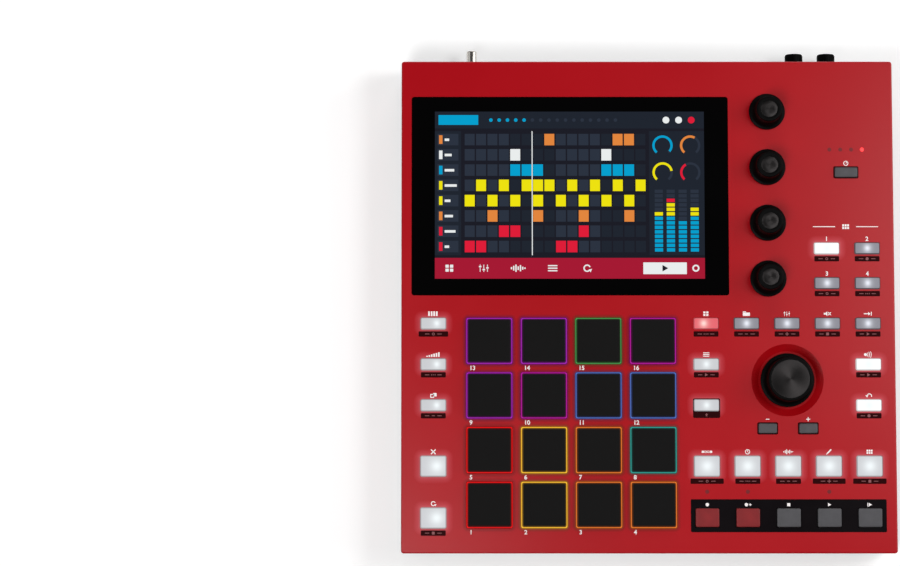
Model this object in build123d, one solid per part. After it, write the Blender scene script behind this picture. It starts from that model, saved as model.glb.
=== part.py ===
"""Music production center: a square tabletop case with pads, keys, knobs and a touch screen.

Sizes are millimetres. The panel is laid out from the rear left corner of the case: x runs to the
right and y runs from 0 at the rear edge to minus the depth at the front edge. Each piece is moved
once, when it is written, so that the origin is under the middle of the whole footprint.
"""
import os

from build123d import *

# Fits and cuts
GAP = 0.3                   # round a key, pad or knob, and between its flange and the panel
SEAT = 0.1                  # round a piece that is glued, soldered or screwed in place
RUNNING = 0.05              # radial gap of a shaft in its bush
OVERRUN = 1.0               # how far a cut runs past the face that it opens

# Case shells
FOOT_HEIGHT = 4.0
FOOT_RADIUS = 9.0
FOOT_INSET = 26.0
FOOT_EDGE = 1.0
WALL = 2.5
FLOOR = 2.5
PANEL = 2.5
CORNER_RADIUS = 1.5
INNER_CORNER_RADIUS = 1.0
EDGE_RADIUS = 0.9
BASE_HEIGHT = 10.0          # underside of the case to the line where the shells meet
BASE_CHAMFER = 1.2
REAR_WALL = 2.5
REAR_INSET = 0.5            # rear wall behind the rear edge of the panel
REAR_LIP = 4.0              # depth of the top cover's lip over the rear wall
REAR_END = 4.0              # corner of the top cover beside the rear wall
VENT_LENGTH = 30.0
VENT_WIDTH = 2.0
VENT_PITCH = 6.0
VENT_COUNT = 10
VENT_SPREAD_SHARE = 0.25    # of the case width, from the middle to each vent field
VENT_DEPTH_SHARE = 0.67     # of the case depth, from the rear edge to the vent fields

# Screws, the posts of the top cover and the bosses of the bottom cover
POST_RADIUS = 3.5
POST_INSET = 9.0
POST_FRONT = 8.0
POST_REAR_RIGHT = 41.0
BOSS_WALL = 1.25
SCREW_RADIUS = 1.4
SCREW_HEAD_RADIUS = 2.8
SCREW_HEAD = 2.0
SCREW_LENGTH = 14.0
SCREW_DRIVE_RADIUS = 1.2
SCREW_DRIVE = 1.2
COUNTERBORE = 4.0
BOARD_POST_RADIUS = 2.8
BOARD_SCREW_RADIUS = 1.1
BOARD_SCREW_HEAD_RADIUS = 2.2
BOARD_SCREW_LENGTH = 4.0
STANDOFF_SCREW_LENGTH = 3.6

# Screen
GLASS_LENGTH = 175.0
GLASS_WIDTH = 110.3
GLASS = 1.6
GLASS_CORNER = 1.5
GLASS_SINK = 0.1            # glass face below the panel
GLASS_LEFT = 5.7
GLASS_REAR = 19.9
LCD_SIDE_MARGIN = 6.5       # glass beyond the display module at each end
LCD_FRONT_MARGIN = 3.15     # glass beyond the display module in front and behind
LCD_LENGTH = GLASS_LENGTH - LCD_SIDE_MARGIN * 2
LCD_WIDTH = GLASS_WIDTH - LCD_FRONT_MARGIN * 2
LCD = 5.0

# Pads
PAD_SIZE = 25.3
PAD_TOP_SIZE = 23.5
PAD_SPACE = 4.7
PAD_CORNER = 1.0
PAD_EDGE = 0.6
PAD_RIM = 0.6               # lit rim above the panel
PAD_HEIGHT = 3.0            # playing face above the panel
PAD_TRAVEL = 1.0
PAD_COUNT = 4               # pads along each side of the field
SENSOR = 0.5

# Keys
FLANGE = 1.2
FLANGE_THICKNESS = 1.2
KEY_LENGTH = 13.5
KEY_WIDTH = 6.1
KEY_SPACE = 8.5
KEY_ROW_SPACE = 16.4
KEY_CORNER = 0.8
KEY_EDGE = 0.4
KEY_HEIGHT = 1.3
KEY_TRAVEL = 0.8
KEY_STEM = 1.5              # stem's step in from the key's sides
LARGE_KEY_LENGTH = 13.8
LARGE_KEY_WIDTH = 11.0
TRANSPORT_KEY_LENGTH = 12.9
TRANSPORT_KEY_WIDTH = 10.1
STEP_KEY_LENGTH = 10.0
STEP_KEY_WIDTH = 5.3
BANK_KEY_LENGTH = 12.5
BANK_KEY_WIDTH = 5.4
STRIP_LENGTH_MARGIN = 2.6   # black strip round the transport keys
STRIP_WIDTH_MARGIN = 3.95
STRIP_RISE = 1.1            # middle of the strip behind the middle of its keys
STRIP_DEPTH = 0.4

# Knobs
KNOB_SKIRT_RADIUS = 10.0
KNOB_GRIP_RADIUS = 7.2
KNOB_CAP_RADIUS = 4.6
KNOB_HEIGHT = 13.5
KNOB_FLARE = 5.0
KNOB_SPACE = 10.9
KNOB_COUNT = 4
WHEEL_SKIRT_RADIUS = 14.8
WHEEL_GRIP_RADIUS = 12.2
WHEEL_CAP_RADIUS = 10.5
WHEEL_HEIGHT = 15.0
WHEEL_FLARE = 3.0
KNOB_RISE = 0.6             # skirt above the surface under it
KNOB_SKIRT = 1.0
KNOB_EDGE = 0.7
CAP_SINK = 0.3
DISH_RADIUS = 19.9
DISH_FLOOR_RADIUS = 16.0
DISH_DEPTH = 1.4
SHAFT_RADIUS = 3.0
SHAFT_GRIP = 8.0            # length of shaft inside its knob
ENCODER_SIZE = 12.0
ENCODER_HEIGHT = 6.5
ENCODER_ROOM = 0.5
ENCODER_BASE = 2.0
BUSH_RADIUS = 4.5

# Indicator lights
LIGHT_RADIUS = 1.0
LIGHT_PITCH = 6.0
LIGHT_COUNT = 4
LIGHT_RISE = 12.7           # knob bank lights behind their key
TRANSPORT_LIGHT_RISE = 14.2

# Places on the panel
LEFT_MARGIN = 10.95
PAD_LEFT_SPACE = 11.4
BLOCK_LEFT_SPACE = 9.9
RIGHT_MARGIN = 8.25
KNOB_LEFT_SPACE = 11.6
KNOB_RIGHT_SPACE = 6.2
KNOB_COLUMN_RISE = 0.4      # knob column behind the middle of the screen
CONTROL_SPACE = 12.55       # screen to the first row of controls
KNOB_CONTROL_SPACE = 6.0
WHEEL_SPACE = 8.25
STEP_SPACE = 3.95
LARGE_SPACE = 12.55
TRANSPORT_SPACE = 17.65
FRONT_MARGIN = 13.85
TRANSPORT_FRONT_MARGIN = 12.0
PAD_BANK_SPACE = 16.2
PAD_BANK_ROW_SPACE = 13.2
KNOB_BANK_REAR = 62.0

# Boards
BOARD = 1.6
BOARD_MARGIN = 4.0
CONTROL_BOARD_REAR = 17.0
MAIN_BOARD_REAR = 4.5
MAIN_BOARD_FRONT = 110.0
STANDOFF = 2.5
STANDOFF_RADIUS = 3.0
STANDOFF_LEFT = 20.0
STANDOFF_RIGHT = 27.0
STANDOFF_REAR = 42.0
STANDOFF_FRONT = 102.0
BAY_ROOM = 3.8              # over the jacks, to the control board
SINK_SIZE = 36.0
SINK_HEIGHT = 9.0
SINK_FINS = 6
SINK_BASE = 2.5
SINK_FIN = 2.0
CHIP_SIZE = 20.0
CHIP = 1.5
CHIP_X = 100.0
CHIP_Y = 75.0
RIBBON_LENGTH = 30.0
RIBBON = 0.8
RIBBON_X = 150.0
RIBBON_Y = 95.0
CONNECTOR_LENGTH = 34.0
CONNECTOR_WIDTH = 5.0
CONNECTOR_HEIGHT = 4.0

# Rear row, from the left: widths, then what each fitting needs
REAR_START = 19.0
REAR_MARGIN = 4.25
REAR_SPACE = 4.0
REAR_CLOSE = 0.5
REAR_GROUP = 1.0
POWER_SPACE = 5.0
VOLUME_SPACE = 4.85
VOLUME_APART = 8.5
DC_WIDTH = 10.0
DC_HEIGHT = 11.0
DC_DEPTH = 14.0
DC_NOSE_RADIUS = 4.6
DC_BORE_RADIUS = 3.2
DC_PIN_RADIUS = 1.0
DC_BORE_DEPTH = 9.5
SWITCH_WIDTH = 10.0
SWITCH_HEIGHT = 14.0
SWITCH_DEPTH = 12.0
POWER_RADIUS = 2.85
POWER_REACH = 9.0           # power button behind the rear edge of the panel
POWER_TRAVEL = 2.5
POWER_EDGE = 0.5
POWER_STEM = 4.0            # length of the button inside its switch at rest
USB_B_WIDTH = 12.0
USB_B_HEIGHT = 11.0
USB_B_DEPTH = 16.0
USB_B_MOUTH_LENGTH = 8.5
USB_B_MOUTH_HEIGHT = 7.8
USB_B_TONGUE_LENGTH = 5.6
USB_B_TONGUE_HEIGHT = 3.2
USB_A_WIDTH = 14.4
USB_A_HEIGHT = 7.2
USB_A_DEPTH = 14.0
USB_A_MOUTH_LENGTH = 12.5
USB_A_MOUTH_HEIGHT = 5.1
USB_A_TONGUE_LENGTH = 11.1
USB_A_TONGUE_HEIGHT = 1.9
USB_MOUTH_DEPTH = 9.0
CARD_WIDTH = 28.0
CARD_HEIGHT = 4.4
CARD_DEPTH = 26.0
CARD_MOUTH_LENGTH = 24.6
CARD_MOUTH_HEIGHT = 2.6
CARD_MOUTH_DEPTH = 20.0
NOSE_FRAME = 0.7            # frame of a socket's nose round its mouth
MINI_WIDTH = 9.0
MINI_HEIGHT = 9.0
MINI_DEPTH = 12.0
MINI_NOSE_RADIUS = 3.0
MINI_BORE_RADIUS = 1.8
MINI_BORE_DEPTH = 11.0
MINI_ROWS = 2
DIN_WIDTH = 19.0
DIN_HEIGHT = 19.0
DIN_DEPTH = 12.0
DIN_NOSE_RADIUS = 8.2
DIN_BORE_RADIUS = 7.0
DIN_INSERT_RADIUS = 5.4
DIN_BORE_DEPTH = 8.0
DIN_PIN_RADIUS = 0.8
DIN_PIN_CIRCLE = 3.6
DIN_PIN_DEPTH = 6.0
DIN_PIN_ANGLES = (0, 45, 90, 135, 180)
JACK_WIDTH = 12.0
JACK_HEIGHT = 12.5
JACK_DEPTH = 28.0
JACK_NOSE_RADIUS = 4.5
JACK_BORE_RADIUS = 3.25
JACK_BORE_DEPTH = 26.0
POT_WIDTH = 9.5
POT_HEIGHT = 14.0
POT_DEPTH = 9.0
POT_BUSH_RADIUS = 3.5
POT_BASE = 2.0
POT_SHAFT_RADIUS = 2.5
VOLUME_RADIUS = 5.0
VOLUME_SKIRT_RADIUS = 6.2
VOLUME_SKIRT = 2.0
VOLUME_REACH = 7.0          # volume knob behind the rear edge of the panel
VOLUME_SHAFT_GRIP = 4.5
VOLUME_EDGE = 0.5

# Names of the keys, group by group
LEFT_KEYS = ("level_button", "sixteen_levels_button", "copy_button")
LARGE_LEFT_KEYS = ("erase_button", "repeat_button")
UPPER_KEYS = ("main_button", "browse_button", "mix_button", "mute_button", "sequence_button")
LARGE_KEYS = ("step_button", "timing_button", "sampler_button", "edit_button", "program_button")
TRANSPORT_KEYS = ("record_button", "overdub_button", "stop_button", "play_button",
                  "play_start_button")
REAR_JACKS = ("phones", "output_left", "output_right", "input_left", "input_right")

# Rear row: name, width, space before it
REAR_ROW = (
    ("dc_inlet", DC_WIDTH, REAR_START),
    ("power", SWITCH_WIDTH, POWER_SPACE),
    ("usb_b", USB_B_WIDTH, REAR_SPACE),
    ("usb_a", USB_A_WIDTH, REAR_SPACE),
    ("card_slot", CARD_WIDTH, REAR_SPACE),
    ("mini_1", MINI_WIDTH, REAR_SPACE),
    ("mini_2", MINI_WIDTH, REAR_CLOSE),
    ("midi_in", DIN_WIDTH, REAR_GROUP),
    ("midi_out", DIN_WIDTH, REAR_CLOSE),
    ("phones", JACK_WIDTH, REAR_GROUP),
    ("output_left", JACK_WIDTH, REAR_CLOSE),
    ("output_right", JACK_WIDTH, REAR_CLOSE),
    ("record_volume", POT_WIDTH, VOLUME_SPACE),
    ("main_volume", POT_WIDTH, VOLUME_APART),
    ("input_left", JACK_WIDTH, REAR_CLOSE),
    ("input_right", JACK_WIDTH, REAR_CLOSE),
)


def rear_places():
    """Middle of each rear fitting along x, and the right end of the row."""
    places = {}
    edge = 0
    for name, width, space in REAR_ROW:
        places[name] = edge + space + width / 2
        edge += space + width
    return places, edge


REAR_X, REAR_RIGHT = rear_places()

# Columns of the panel, from the left edge
KEY_PITCH = max(KEY_LENGTH, LARGE_KEY_LENGTH, TRANSPORT_KEY_LENGTH) + KEY_SPACE
PAD_PITCH = PAD_SIZE + PAD_SPACE
LEFT_COLUMN = LEFT_MARGIN + KEY_LENGTH / 2
PAD_LEFT = LEFT_MARGIN + KEY_LENGTH + PAD_LEFT_SPACE
PAD_RIGHT = PAD_LEFT + PAD_PITCH * PAD_COUNT - PAD_SPACE
GLASS_RIGHT = GLASS_LEFT + GLASS_LENGTH
KNOB_X = GLASS_RIGHT + KNOB_LEFT_SPACE + KNOB_SKIRT_RADIUS
BLOCK_LEFT = max(PAD_RIGHT + BLOCK_LEFT_SPACE,
                 KNOB_X + KNOB_SKIRT_RADIUS + KNOB_RIGHT_SPACE - KEY_PITCH * 3)
COLUMNS = [BLOCK_LEFT + KEY_LENGTH / 2 + KEY_PITCH * i for i in range(len(UPPER_KEYS))]
CASE_WIDTH = max(COLUMNS[-1] + KEY_LENGTH / 2 + RIGHT_MARGIN, REAR_RIGHT + REAR_MARGIN)
KNOB_BANK_X = (COLUMNS[3] + COLUMNS[4]) / 2

# Rows of the panel, from the rear edge
GLASS_Y = -(GLASS_REAR + GLASS_WIDTH / 2)
KNOB_PITCH = KNOB_SKIRT_RADIUS * 2 + KNOB_SPACE
KNOB_ROWS = [GLASS_Y + KNOB_COLUMN_RISE + KNOB_PITCH * ((KNOB_COUNT - 1) / 2 - i)
             for i in range(KNOB_COUNT)]
CONTROL_REAR = min(-GLASS_REAR - GLASS_WIDTH - CONTROL_SPACE,
                   KNOB_ROWS[-1] - KNOB_SKIRT_RADIUS - KNOB_CONTROL_SPACE)
KEY_ROW_PITCH = KEY_WIDTH + KEY_ROW_SPACE
KEY_ROWS = [CONTROL_REAR - KEY_WIDTH / 2 - KEY_ROW_PITCH * i for i in range(len(LEFT_KEYS))]
PAD_FRONT = CONTROL_REAR - PAD_PITCH * PAD_COUNT + PAD_SPACE
WHEEL_X = COLUMNS[2]
WHEEL_Y = CONTROL_REAR - KEY_WIDTH - WHEEL_SPACE - DISH_RADIUS
STEP_ROW = min(WHEEL_Y - DISH_RADIUS - STEP_SPACE, KEY_ROWS[2]) - STEP_KEY_WIDTH / 2
LARGE_ROW = STEP_ROW - STEP_KEY_WIDTH / 2 - LARGE_SPACE - LARGE_KEY_WIDTH / 2
TRANSPORT_ROW = LARGE_ROW - LARGE_KEY_WIDTH / 2 - TRANSPORT_SPACE - TRANSPORT_KEY_WIDTH / 2
LAST_LEFT_ROW = min(PAD_FRONT + LARGE_KEY_WIDTH / 2, LARGE_ROW - LARGE_KEY_WIDTH - KEY_SPACE)
CASE_DEPTH = -min(PAD_FRONT - FRONT_MARGIN,
                  TRANSPORT_ROW - TRANSPORT_KEY_WIDTH / 2 - TRANSPORT_FRONT_MARGIN,
                  LAST_LEFT_ROW - LARGE_KEY_WIDTH / 2 - TRANSPORT_FRONT_MARGIN)
PAD_BANK_ROWS = [CONTROL_REAR + PAD_BANK_SPACE + KEY_WIDTH / 2 + (KEY_WIDTH + PAD_BANK_ROW_SPACE) * i
                 for i in (1, 0)]
KNOB_BANK_Y = -KNOB_BANK_REAR

# Heights, from the table up
UNDERSIDE = FOOT_HEIGHT
FLOOR_TOP = UNDERSIDE + FLOOR
PARTING = UNDERSIDE + BASE_HEIGHT
MAIN_TOP = FLOOR_TOP + STANDOFF + BOARD
CONTROL_BOTTOM = MAIN_TOP + max(JACK_HEIGHT, SINK_HEIGHT + CHIP) + BAY_ROOM
CONTROL_TOP = CONTROL_BOTTOM + BOARD
PANEL_BOTTOM = CONTROL_TOP + max(ENCODER_HEIGHT, LCD) + ENCODER_ROOM
PANEL_TOP = PANEL_BOTTOM + PANEL
DISH_FLOOR = PANEL_TOP - DISH_DEPTH
GLASS_TOP = PANEL_TOP - GLASS_SINK
GLASS_BOTTOM = GLASS_TOP - GLASS
FLANGE_TOP = PANEL_BOTTOM - GAP
REAR_INNER = -REAR_INSET - REAR_WALL
REAR_TOP = PANEL_TOP - REAR_LIP
POWER_Z = MAIN_TOP + SWITCH_HEIGHT / 2
VOLUME_Z = MAIN_TOP + POT_HEIGHT / 2
SCREW_SEAT = UNDERSIDE + COUNTERBORE

# Places that pieces share
POST_PLACES = (
    (POST_INSET, -POST_INSET),
    (CASE_WIDTH - POST_INSET, -POST_REAR_RIGHT),
    (POST_INSET, (KEY_ROWS[2] + LARGE_ROW) / 2),
    (CASE_WIDTH - POST_INSET, (KEY_ROWS[2] + LARGE_ROW) / 2),
    (POST_INSET, POST_FRONT - CASE_DEPTH),
    (CASE_WIDTH - POST_INSET, POST_FRONT - CASE_DEPTH),
)
LEFT_AISLE = PAD_LEFT - PAD_LEFT_SPACE / 2
RIGHT_AISLE = (PAD_RIGHT + BLOCK_LEFT) / 2
LAST_PAD_ROW = PAD_FRONT + PAD_SIZE / 2
BOARD_POST_PLACES = (
    (LEFT_AISLE, KEY_ROWS[0]),
    (LEFT_AISLE, LAST_PAD_ROW),
    (RIGHT_AISLE, KEY_ROWS[0]),
    (RIGHT_AISLE, LAST_PAD_ROW),
    (KNOB_BANK_X, (STEP_ROW - STEP_KEY_WIDTH / 2 + LARGE_ROW + LARGE_KEY_WIDTH / 2) / 2),
    (KNOB_BANK_X, (KNOB_BANK_Y + PAD_BANK_ROWS[0]) / 2),
    (GLASS_RIGHT + KNOB_LEFT_SPACE / 2, KNOB_ROWS[0]),
)
STANDOFF_PLACES = (
    (STANDOFF_LEFT, -STANDOFF_REAR),
    (STANDOFF_LEFT, -STANDOFF_FRONT),
    (CASE_WIDTH / 2, -STANDOFF_FRONT),
    (CASE_WIDTH - STANDOFF_RIGHT, -STANDOFF_REAR),
    (CASE_WIDTH - STANDOFF_RIGHT, -STANDOFF_FRONT),
)
FOOT_PLACES = [(x, y) for x in (FOOT_INSET, CASE_WIDTH - FOOT_INSET)
               for y in (-FOOT_INSET, FOOT_INSET - CASE_DEPTH)]
LIGHT_PLACES = [(KNOB_BANK_X + LIGHT_PITCH * (i - (LIGHT_COUNT - 1) / 2), KNOB_BANK_Y + LIGHT_RISE)
                for i in range(LIGHT_COUNT)]
LIGHT_PLACES += [(COLUMNS[i], TRANSPORT_ROW + TRANSPORT_LIGHT_RISE) for i in (0, 1, 3)]

STANDING = (Align.CENTER, Align.CENTER, Align.MIN)


def key_places():
    """Middle, length and width of every key, by name."""
    small = (KEY_LENGTH, KEY_WIDTH)
    large = (LARGE_KEY_LENGTH, LARGE_KEY_WIDTH)
    transport = (TRANSPORT_KEY_LENGTH, TRANSPORT_KEY_WIDTH)
    step = (STEP_KEY_LENGTH, STEP_KEY_WIDTH)
    places = {}
    for name, y in zip(LEFT_KEYS, KEY_ROWS):
        places[name] = (LEFT_COLUMN, y, *small)
    for name, y in zip(LARGE_LEFT_KEYS, (LARGE_ROW, LAST_LEFT_ROW)):
        places[name] = (LEFT_COLUMN, y, *large)
    for name, x in zip(UPPER_KEYS, COLUMNS):
        places[name] = (x, KEY_ROWS[0], *small)
    places["menu_button"] = (COLUMNS[0], KEY_ROWS[1], *small)
    places["shift_button"] = (COLUMNS[0], KEY_ROWS[2], *small)
    places["tap_button"] = (COLUMNS[-1], KEY_ROWS[1], *small)
    places["undo_button"] = (COLUMNS[-1], KEY_ROWS[2], *small)
    places["minus_button"] = (WHEEL_X - KEY_PITCH / 2, STEP_ROW, *step)
    places["plus_button"] = (WHEEL_X + KEY_PITCH / 2, STEP_ROW, *step)
    for name, x in zip(LARGE_KEYS, COLUMNS):
        places[name] = (x, LARGE_ROW, *large)
    for name, x in zip(TRANSPORT_KEYS, COLUMNS):
        places[name] = (x, TRANSPORT_ROW, *transport)
    places["knob_bank_button"] = (KNOB_BANK_X, KNOB_BANK_Y, BANK_KEY_LENGTH, BANK_KEY_WIDTH)
    for row, y in enumerate(PAD_BANK_ROWS):
        for column, x in enumerate(COLUMNS[3:]):
            places[f"pad_bank_{row * 2 + column + 1}_button"] = (x, y, *small)
    return places


def pad_places():
    """Middle of every pad, numbered from the front left."""
    places = {}
    for row in range(PAD_COUNT):
        for column in range(PAD_COUNT):
            x = PAD_LEFT + PAD_SIZE / 2 + PAD_PITCH * column
            y = PAD_FRONT + PAD_SIZE / 2 + PAD_PITCH * row
            places[f"pad_{row * PAD_COUNT + column + 1}"] = (x, y)
    return places


KEYS = key_places()
PADS = pad_places()


def plate(x, y, length, width, bottom, top, corner=0):
    """An upright block round a middle point, with rounded corners if it has any."""
    outline = RectangleRounded(length, width, corner) if corner else Rectangle(length, width)
    return Pos(x, y, bottom) * extrude(outline, top - bottom)


def post(x, y, radius, bottom, top):
    """An upright cylinder."""
    return Pos(x, y, bottom) * Cylinder(radius, top - bottom, align=STANDING)


def rod(x, z, radius, front, rear):
    """A cylinder along y."""
    return Pos(x, (front + rear) / 2, z) * Rot(90, 0, 0) * Cylinder(radius, rear - front)


def bar(x, z, length, height, front, rear):
    """A block along y."""
    return Pos(x, (front + rear) / 2, z) * Box(length, rear - front, height)


def case_block(inset, corner, bottom, top):
    """The case's outline, stepped in all round, as an upright block."""
    return plate(CASE_WIDTH / 2, -CASE_DEPTH / 2, CASE_WIDTH - inset * 2, CASE_DEPTH - inset * 2,
                 bottom, top, corner)


def panel_cuts():
    """The openings for keys and pads, as one prism through the panel."""
    outlines = []
    for x, y, length, width in KEYS.values():
        outlines.append(Pos(x, y) * RectangleRounded(length + GAP * 2, width + GAP * 2, KEY_CORNER + GAP))
    for x, y in PADS.values():
        side = PAD_SIZE + GAP * 2
        outlines.append(Pos(x, y) * RectangleRounded(side, side, PAD_CORNER + GAP))
    return Pos(0, 0, PANEL_BOTTOM - OVERRUN) * extrude(Sketch() + outlines, PANEL + OVERRUN * 2)


def dish():
    """The shallow dish round the data wheel, as a cutter."""
    outline = Polyline((0, -DISH_DEPTH), (DISH_FLOOR_RADIUS, -DISH_DEPTH), (DISH_RADIUS, 0),
                       (DISH_RADIUS, OVERRUN), (0, OVERRUN), close=True)
    return Pos(WHEEL_X, WHEEL_Y, PANEL_TOP) * revolve(Plane.XZ * make_face(outline), Axis.Z)


def top_cover():
    """The upper shell with its panel, posts and openings."""
    shell = case_block(0, CORNER_RADIUS, PARTING, PANEL_TOP)
    shell = fillet(shell.faces().sort_by(Axis.Z)[-1].edges(), EDGE_RADIUS)
    shell -= case_block(WALL, INNER_CORNER_RADIUS, PARTING - OVERRUN, PANEL_BOTTOM)
    shell += [post(x, y, POST_RADIUS, PARTING, PANEL_BOTTOM + SEAT) for x, y in POST_PLACES]
    shell += [post(x, y, BOARD_POST_RADIUS, CONTROL_TOP, PANEL_BOTTOM + SEAT) for x, y in BOARD_POST_PLACES]
    shell -= panel_cuts()
    shell -= plate((GLASS_LEFT + GLASS_RIGHT) / 2, GLASS_Y, GLASS_LENGTH + SEAT * 2, GLASS_WIDTH + SEAT * 2,
                   GLASS_BOTTOM, PANEL_TOP + OVERRUN, GLASS_CORNER)
    shell -= plate((GLASS_LEFT + GLASS_RIGHT) / 2, GLASS_Y, LCD_LENGTH + GAP * 2, LCD_WIDTH + GAP * 2,
                   PANEL_BOTTOM - OVERRUN, PANEL_TOP)
    shell -= plate(WHEEL_X, TRANSPORT_ROW + STRIP_RISE, COLUMNS[-1] - COLUMNS[0] + TRANSPORT_KEY_LENGTH
                   + STRIP_LENGTH_MARGIN * 2, TRANSPORT_KEY_WIDTH + STRIP_WIDTH_MARGIN * 2,
                   PANEL_TOP - STRIP_DEPTH, PANEL_TOP + OVERRUN, KEY_CORNER)
    shell -= dish()
    for x, y in [(KNOB_X, row) for row in KNOB_ROWS] + [(WHEEL_X, WHEEL_Y)]:
        shell -= post(x, y, BUSH_RADIUS + GAP, PANEL_BOTTOM - OVERRUN, PANEL_TOP + OVERRUN)
    for x, y in LIGHT_PLACES:
        shell -= post(x, y, LIGHT_RADIUS + SEAT, PANEL_BOTTOM - OVERRUN, PANEL_TOP + OVERRUN)
    for x, y in POST_PLACES:
        shell -= post(x, y, SCREW_RADIUS + RUNNING, PARTING - OVERRUN, SCREW_SEAT + SCREW_LENGTH + OVERRUN)
    for x, y in BOARD_POST_PLACES:
        shell -= post(x, y, BOARD_SCREW_RADIUS + RUNNING, CONTROL_TOP - OVERRUN,
                      CONTROL_BOTTOM + BOARD_SCREW_LENGTH + SEAT)
    shell -= bar(CASE_WIDTH / 2, (PARTING + REAR_TOP) / 2, CASE_WIDTH - REAR_END * 2, REAR_TOP - PARTING,
                 -WALL - OVERRUN, OVERRUN)
    return shell


def vents():
    """Two fields of slots in the floor."""
    slots = []
    for side in (-VENT_SPREAD_SHARE, VENT_SPREAD_SHARE):
        for i in range(VENT_COUNT):
            x = CASE_WIDTH * (side + 1 / 2) + VENT_PITCH * (i - (VENT_COUNT - 1) / 2)
            spot = Pos(x, -CASE_DEPTH * VENT_DEPTH_SHARE) * Rot(0, 0, 90)
            slots.append(spot * SlotOverall(VENT_LENGTH, VENT_WIDTH))
    return Pos(0, 0, UNDERSIDE - OVERRUN) * extrude(Sketch() + slots, FLOOR + OVERRUN * 2)


def bottom_cover(wall_openings):
    """The lower shell: floor, low walls, rear wall, bosses and standoffs."""
    tray = case_block(0, CORNER_RADIUS, UNDERSIDE, PARTING)
    tray = chamfer(tray.faces().sort_by(Axis.Z)[0].edges(), BASE_CHAMFER)
    tray -= case_block(WALL + BASE_CHAMFER, INNER_CORNER_RADIUS, FLOOR_TOP, PARTING + OVERRUN)
    tray -= case_block(WALL, INNER_CORNER_RADIUS, FLOOR_TOP + BASE_CHAMFER, PARTING + OVERRUN)
    tray += [post(x, y, SCREW_HEAD_RADIUS + GAP + BOSS_WALL, FLOOR_TOP - SEAT, PARTING)
             for x, y in POST_PLACES]
    tray += [post(x, y, STANDOFF_RADIUS, FLOOR_TOP - SEAT, FLOOR_TOP + STANDOFF) for x, y in STANDOFF_PLACES]
    tray += bar(CASE_WIDTH / 2, (FLOOR_TOP + REAR_TOP - SEAT) / 2, CASE_WIDTH - (REAR_END + SEAT) * 2,
                REAR_TOP - SEAT - FLOOR_TOP, REAR_INNER, -REAR_INSET)
    tray -= bar(CASE_WIDTH / 2, (UNDERSIDE + PARTING) / 2, CASE_WIDTH - REAR_END * 2,
                BASE_HEIGHT + OVERRUN * 2, -REAR_INSET, OVERRUN)
    for opening in wall_openings:
        tray -= opening
    for x, y in POST_PLACES:
        tray -= post(x, y, SCREW_HEAD_RADIUS + GAP, UNDERSIDE - OVERRUN, SCREW_SEAT)
        tray -= post(x, y, SCREW_RADIUS + GAP, SCREW_SEAT - SEAT, PARTING + OVERRUN)
    for x, y in STANDOFF_PLACES:
        tray -= post(x, y, BOARD_SCREW_RADIUS + RUNNING, MAIN_TOP - STANDOFF_SCREW_LENGTH - SEAT,
                     MAIN_TOP + OVERRUN)
    return tray - vents()


def touchscreen():
    """The cover glass and the LCD module bonded to it."""
    middle = (GLASS_LEFT + GLASS_RIGHT) / 2
    glass = plate(middle, GLASS_Y, GLASS_LENGTH, GLASS_WIDTH, GLASS_BOTTOM, GLASS_TOP, GLASS_CORNER)
    lcd = plate(middle, GLASS_Y, LCD_LENGTH, LCD_WIDTH, GLASS_BOTTOM - LCD, GLASS_BOTTOM)
    return [glass, lcd]


def pad(x, y):
    """One silicone pad: stem, flange, translucent rim and playing face."""
    stem = plate(x, y, PAD_TOP_SIZE, PAD_TOP_SIZE, CONTROL_TOP + SENSOR + PAD_TRAVEL + GAP,
                 FLANGE_TOP, PAD_CORNER)
    side = PAD_SIZE + (GAP + FLANGE) * 2
    flange = plate(x, y, side, side, FLANGE_TOP - FLANGE_THICKNESS, FLANGE_TOP, PAD_CORNER)
    rim = plate(x, y, PAD_SIZE, PAD_SIZE, FLANGE_TOP - FLANGE_THICKNESS, PANEL_TOP + PAD_RIM, PAD_CORNER)
    face = plate(x, y, PAD_TOP_SIZE, PAD_TOP_SIZE, PANEL_TOP, PANEL_TOP + PAD_HEIGHT, PAD_CORNER)
    face = fillet(face.faces().sort_by(Axis.Z)[-1].edges(), PAD_EDGE)
    return stem + flange + rim + face


def key(x, y, length, width):
    """One key: stem, flange and cap."""
    stem = plate(x, y, length - KEY_STEM * 2, width - KEY_STEM * 2, CONTROL_TOP + KEY_TRAVEL + GAP,
                 FLANGE_TOP)
    flange = plate(x, y, length + (GAP + FLANGE) * 2, width + (GAP + FLANGE) * 2,
                   FLANGE_TOP - FLANGE_THICKNESS, FLANGE_TOP, KEY_CORNER)
    cap = plate(x, y, length, width, FLANGE_TOP - FLANGE_THICKNESS, PANEL_TOP + KEY_HEIGHT, KEY_CORNER)
    cap = fillet(cap.faces().sort_by(Axis.Z)[-1].edges(), KEY_EDGE)
    return stem + flange + cap


def knob(x, y, floor, top, skirt, grip, cap, flare):
    """A turned knob with a sunk cap, and the shaft that carries it."""
    bottom = floor + KNOB_RISE
    flank = bottom + KNOB_SKIRT
    rim = top - KNOB_EDGE
    outline = Polyline((0, bottom), (skirt, bottom), (skirt, flank))
    outline += Bezier((skirt, flank), (grip, flank), (grip, flank + flare))
    outline += Polyline((grip, flank + flare), (grip, rim), (grip - KNOB_EDGE, top), (cap + CAP_SINK, top),
                        (cap, top - CAP_SINK), (0, top - CAP_SINK), (0, bottom))
    body = revolve(Plane.XZ * make_face(outline), Axis.Z)
    shaft_top = bottom + SHAFT_GRIP
    body -= post(0, 0, SHAFT_RADIUS + RUNNING, bottom - OVERRUN, shaft_top)
    shaft = post(x, y, SHAFT_RADIUS, CONTROL_TOP + ENCODER_BASE + GAP, shaft_top)
    return [Pos(x, y) * body, shaft]


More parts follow.
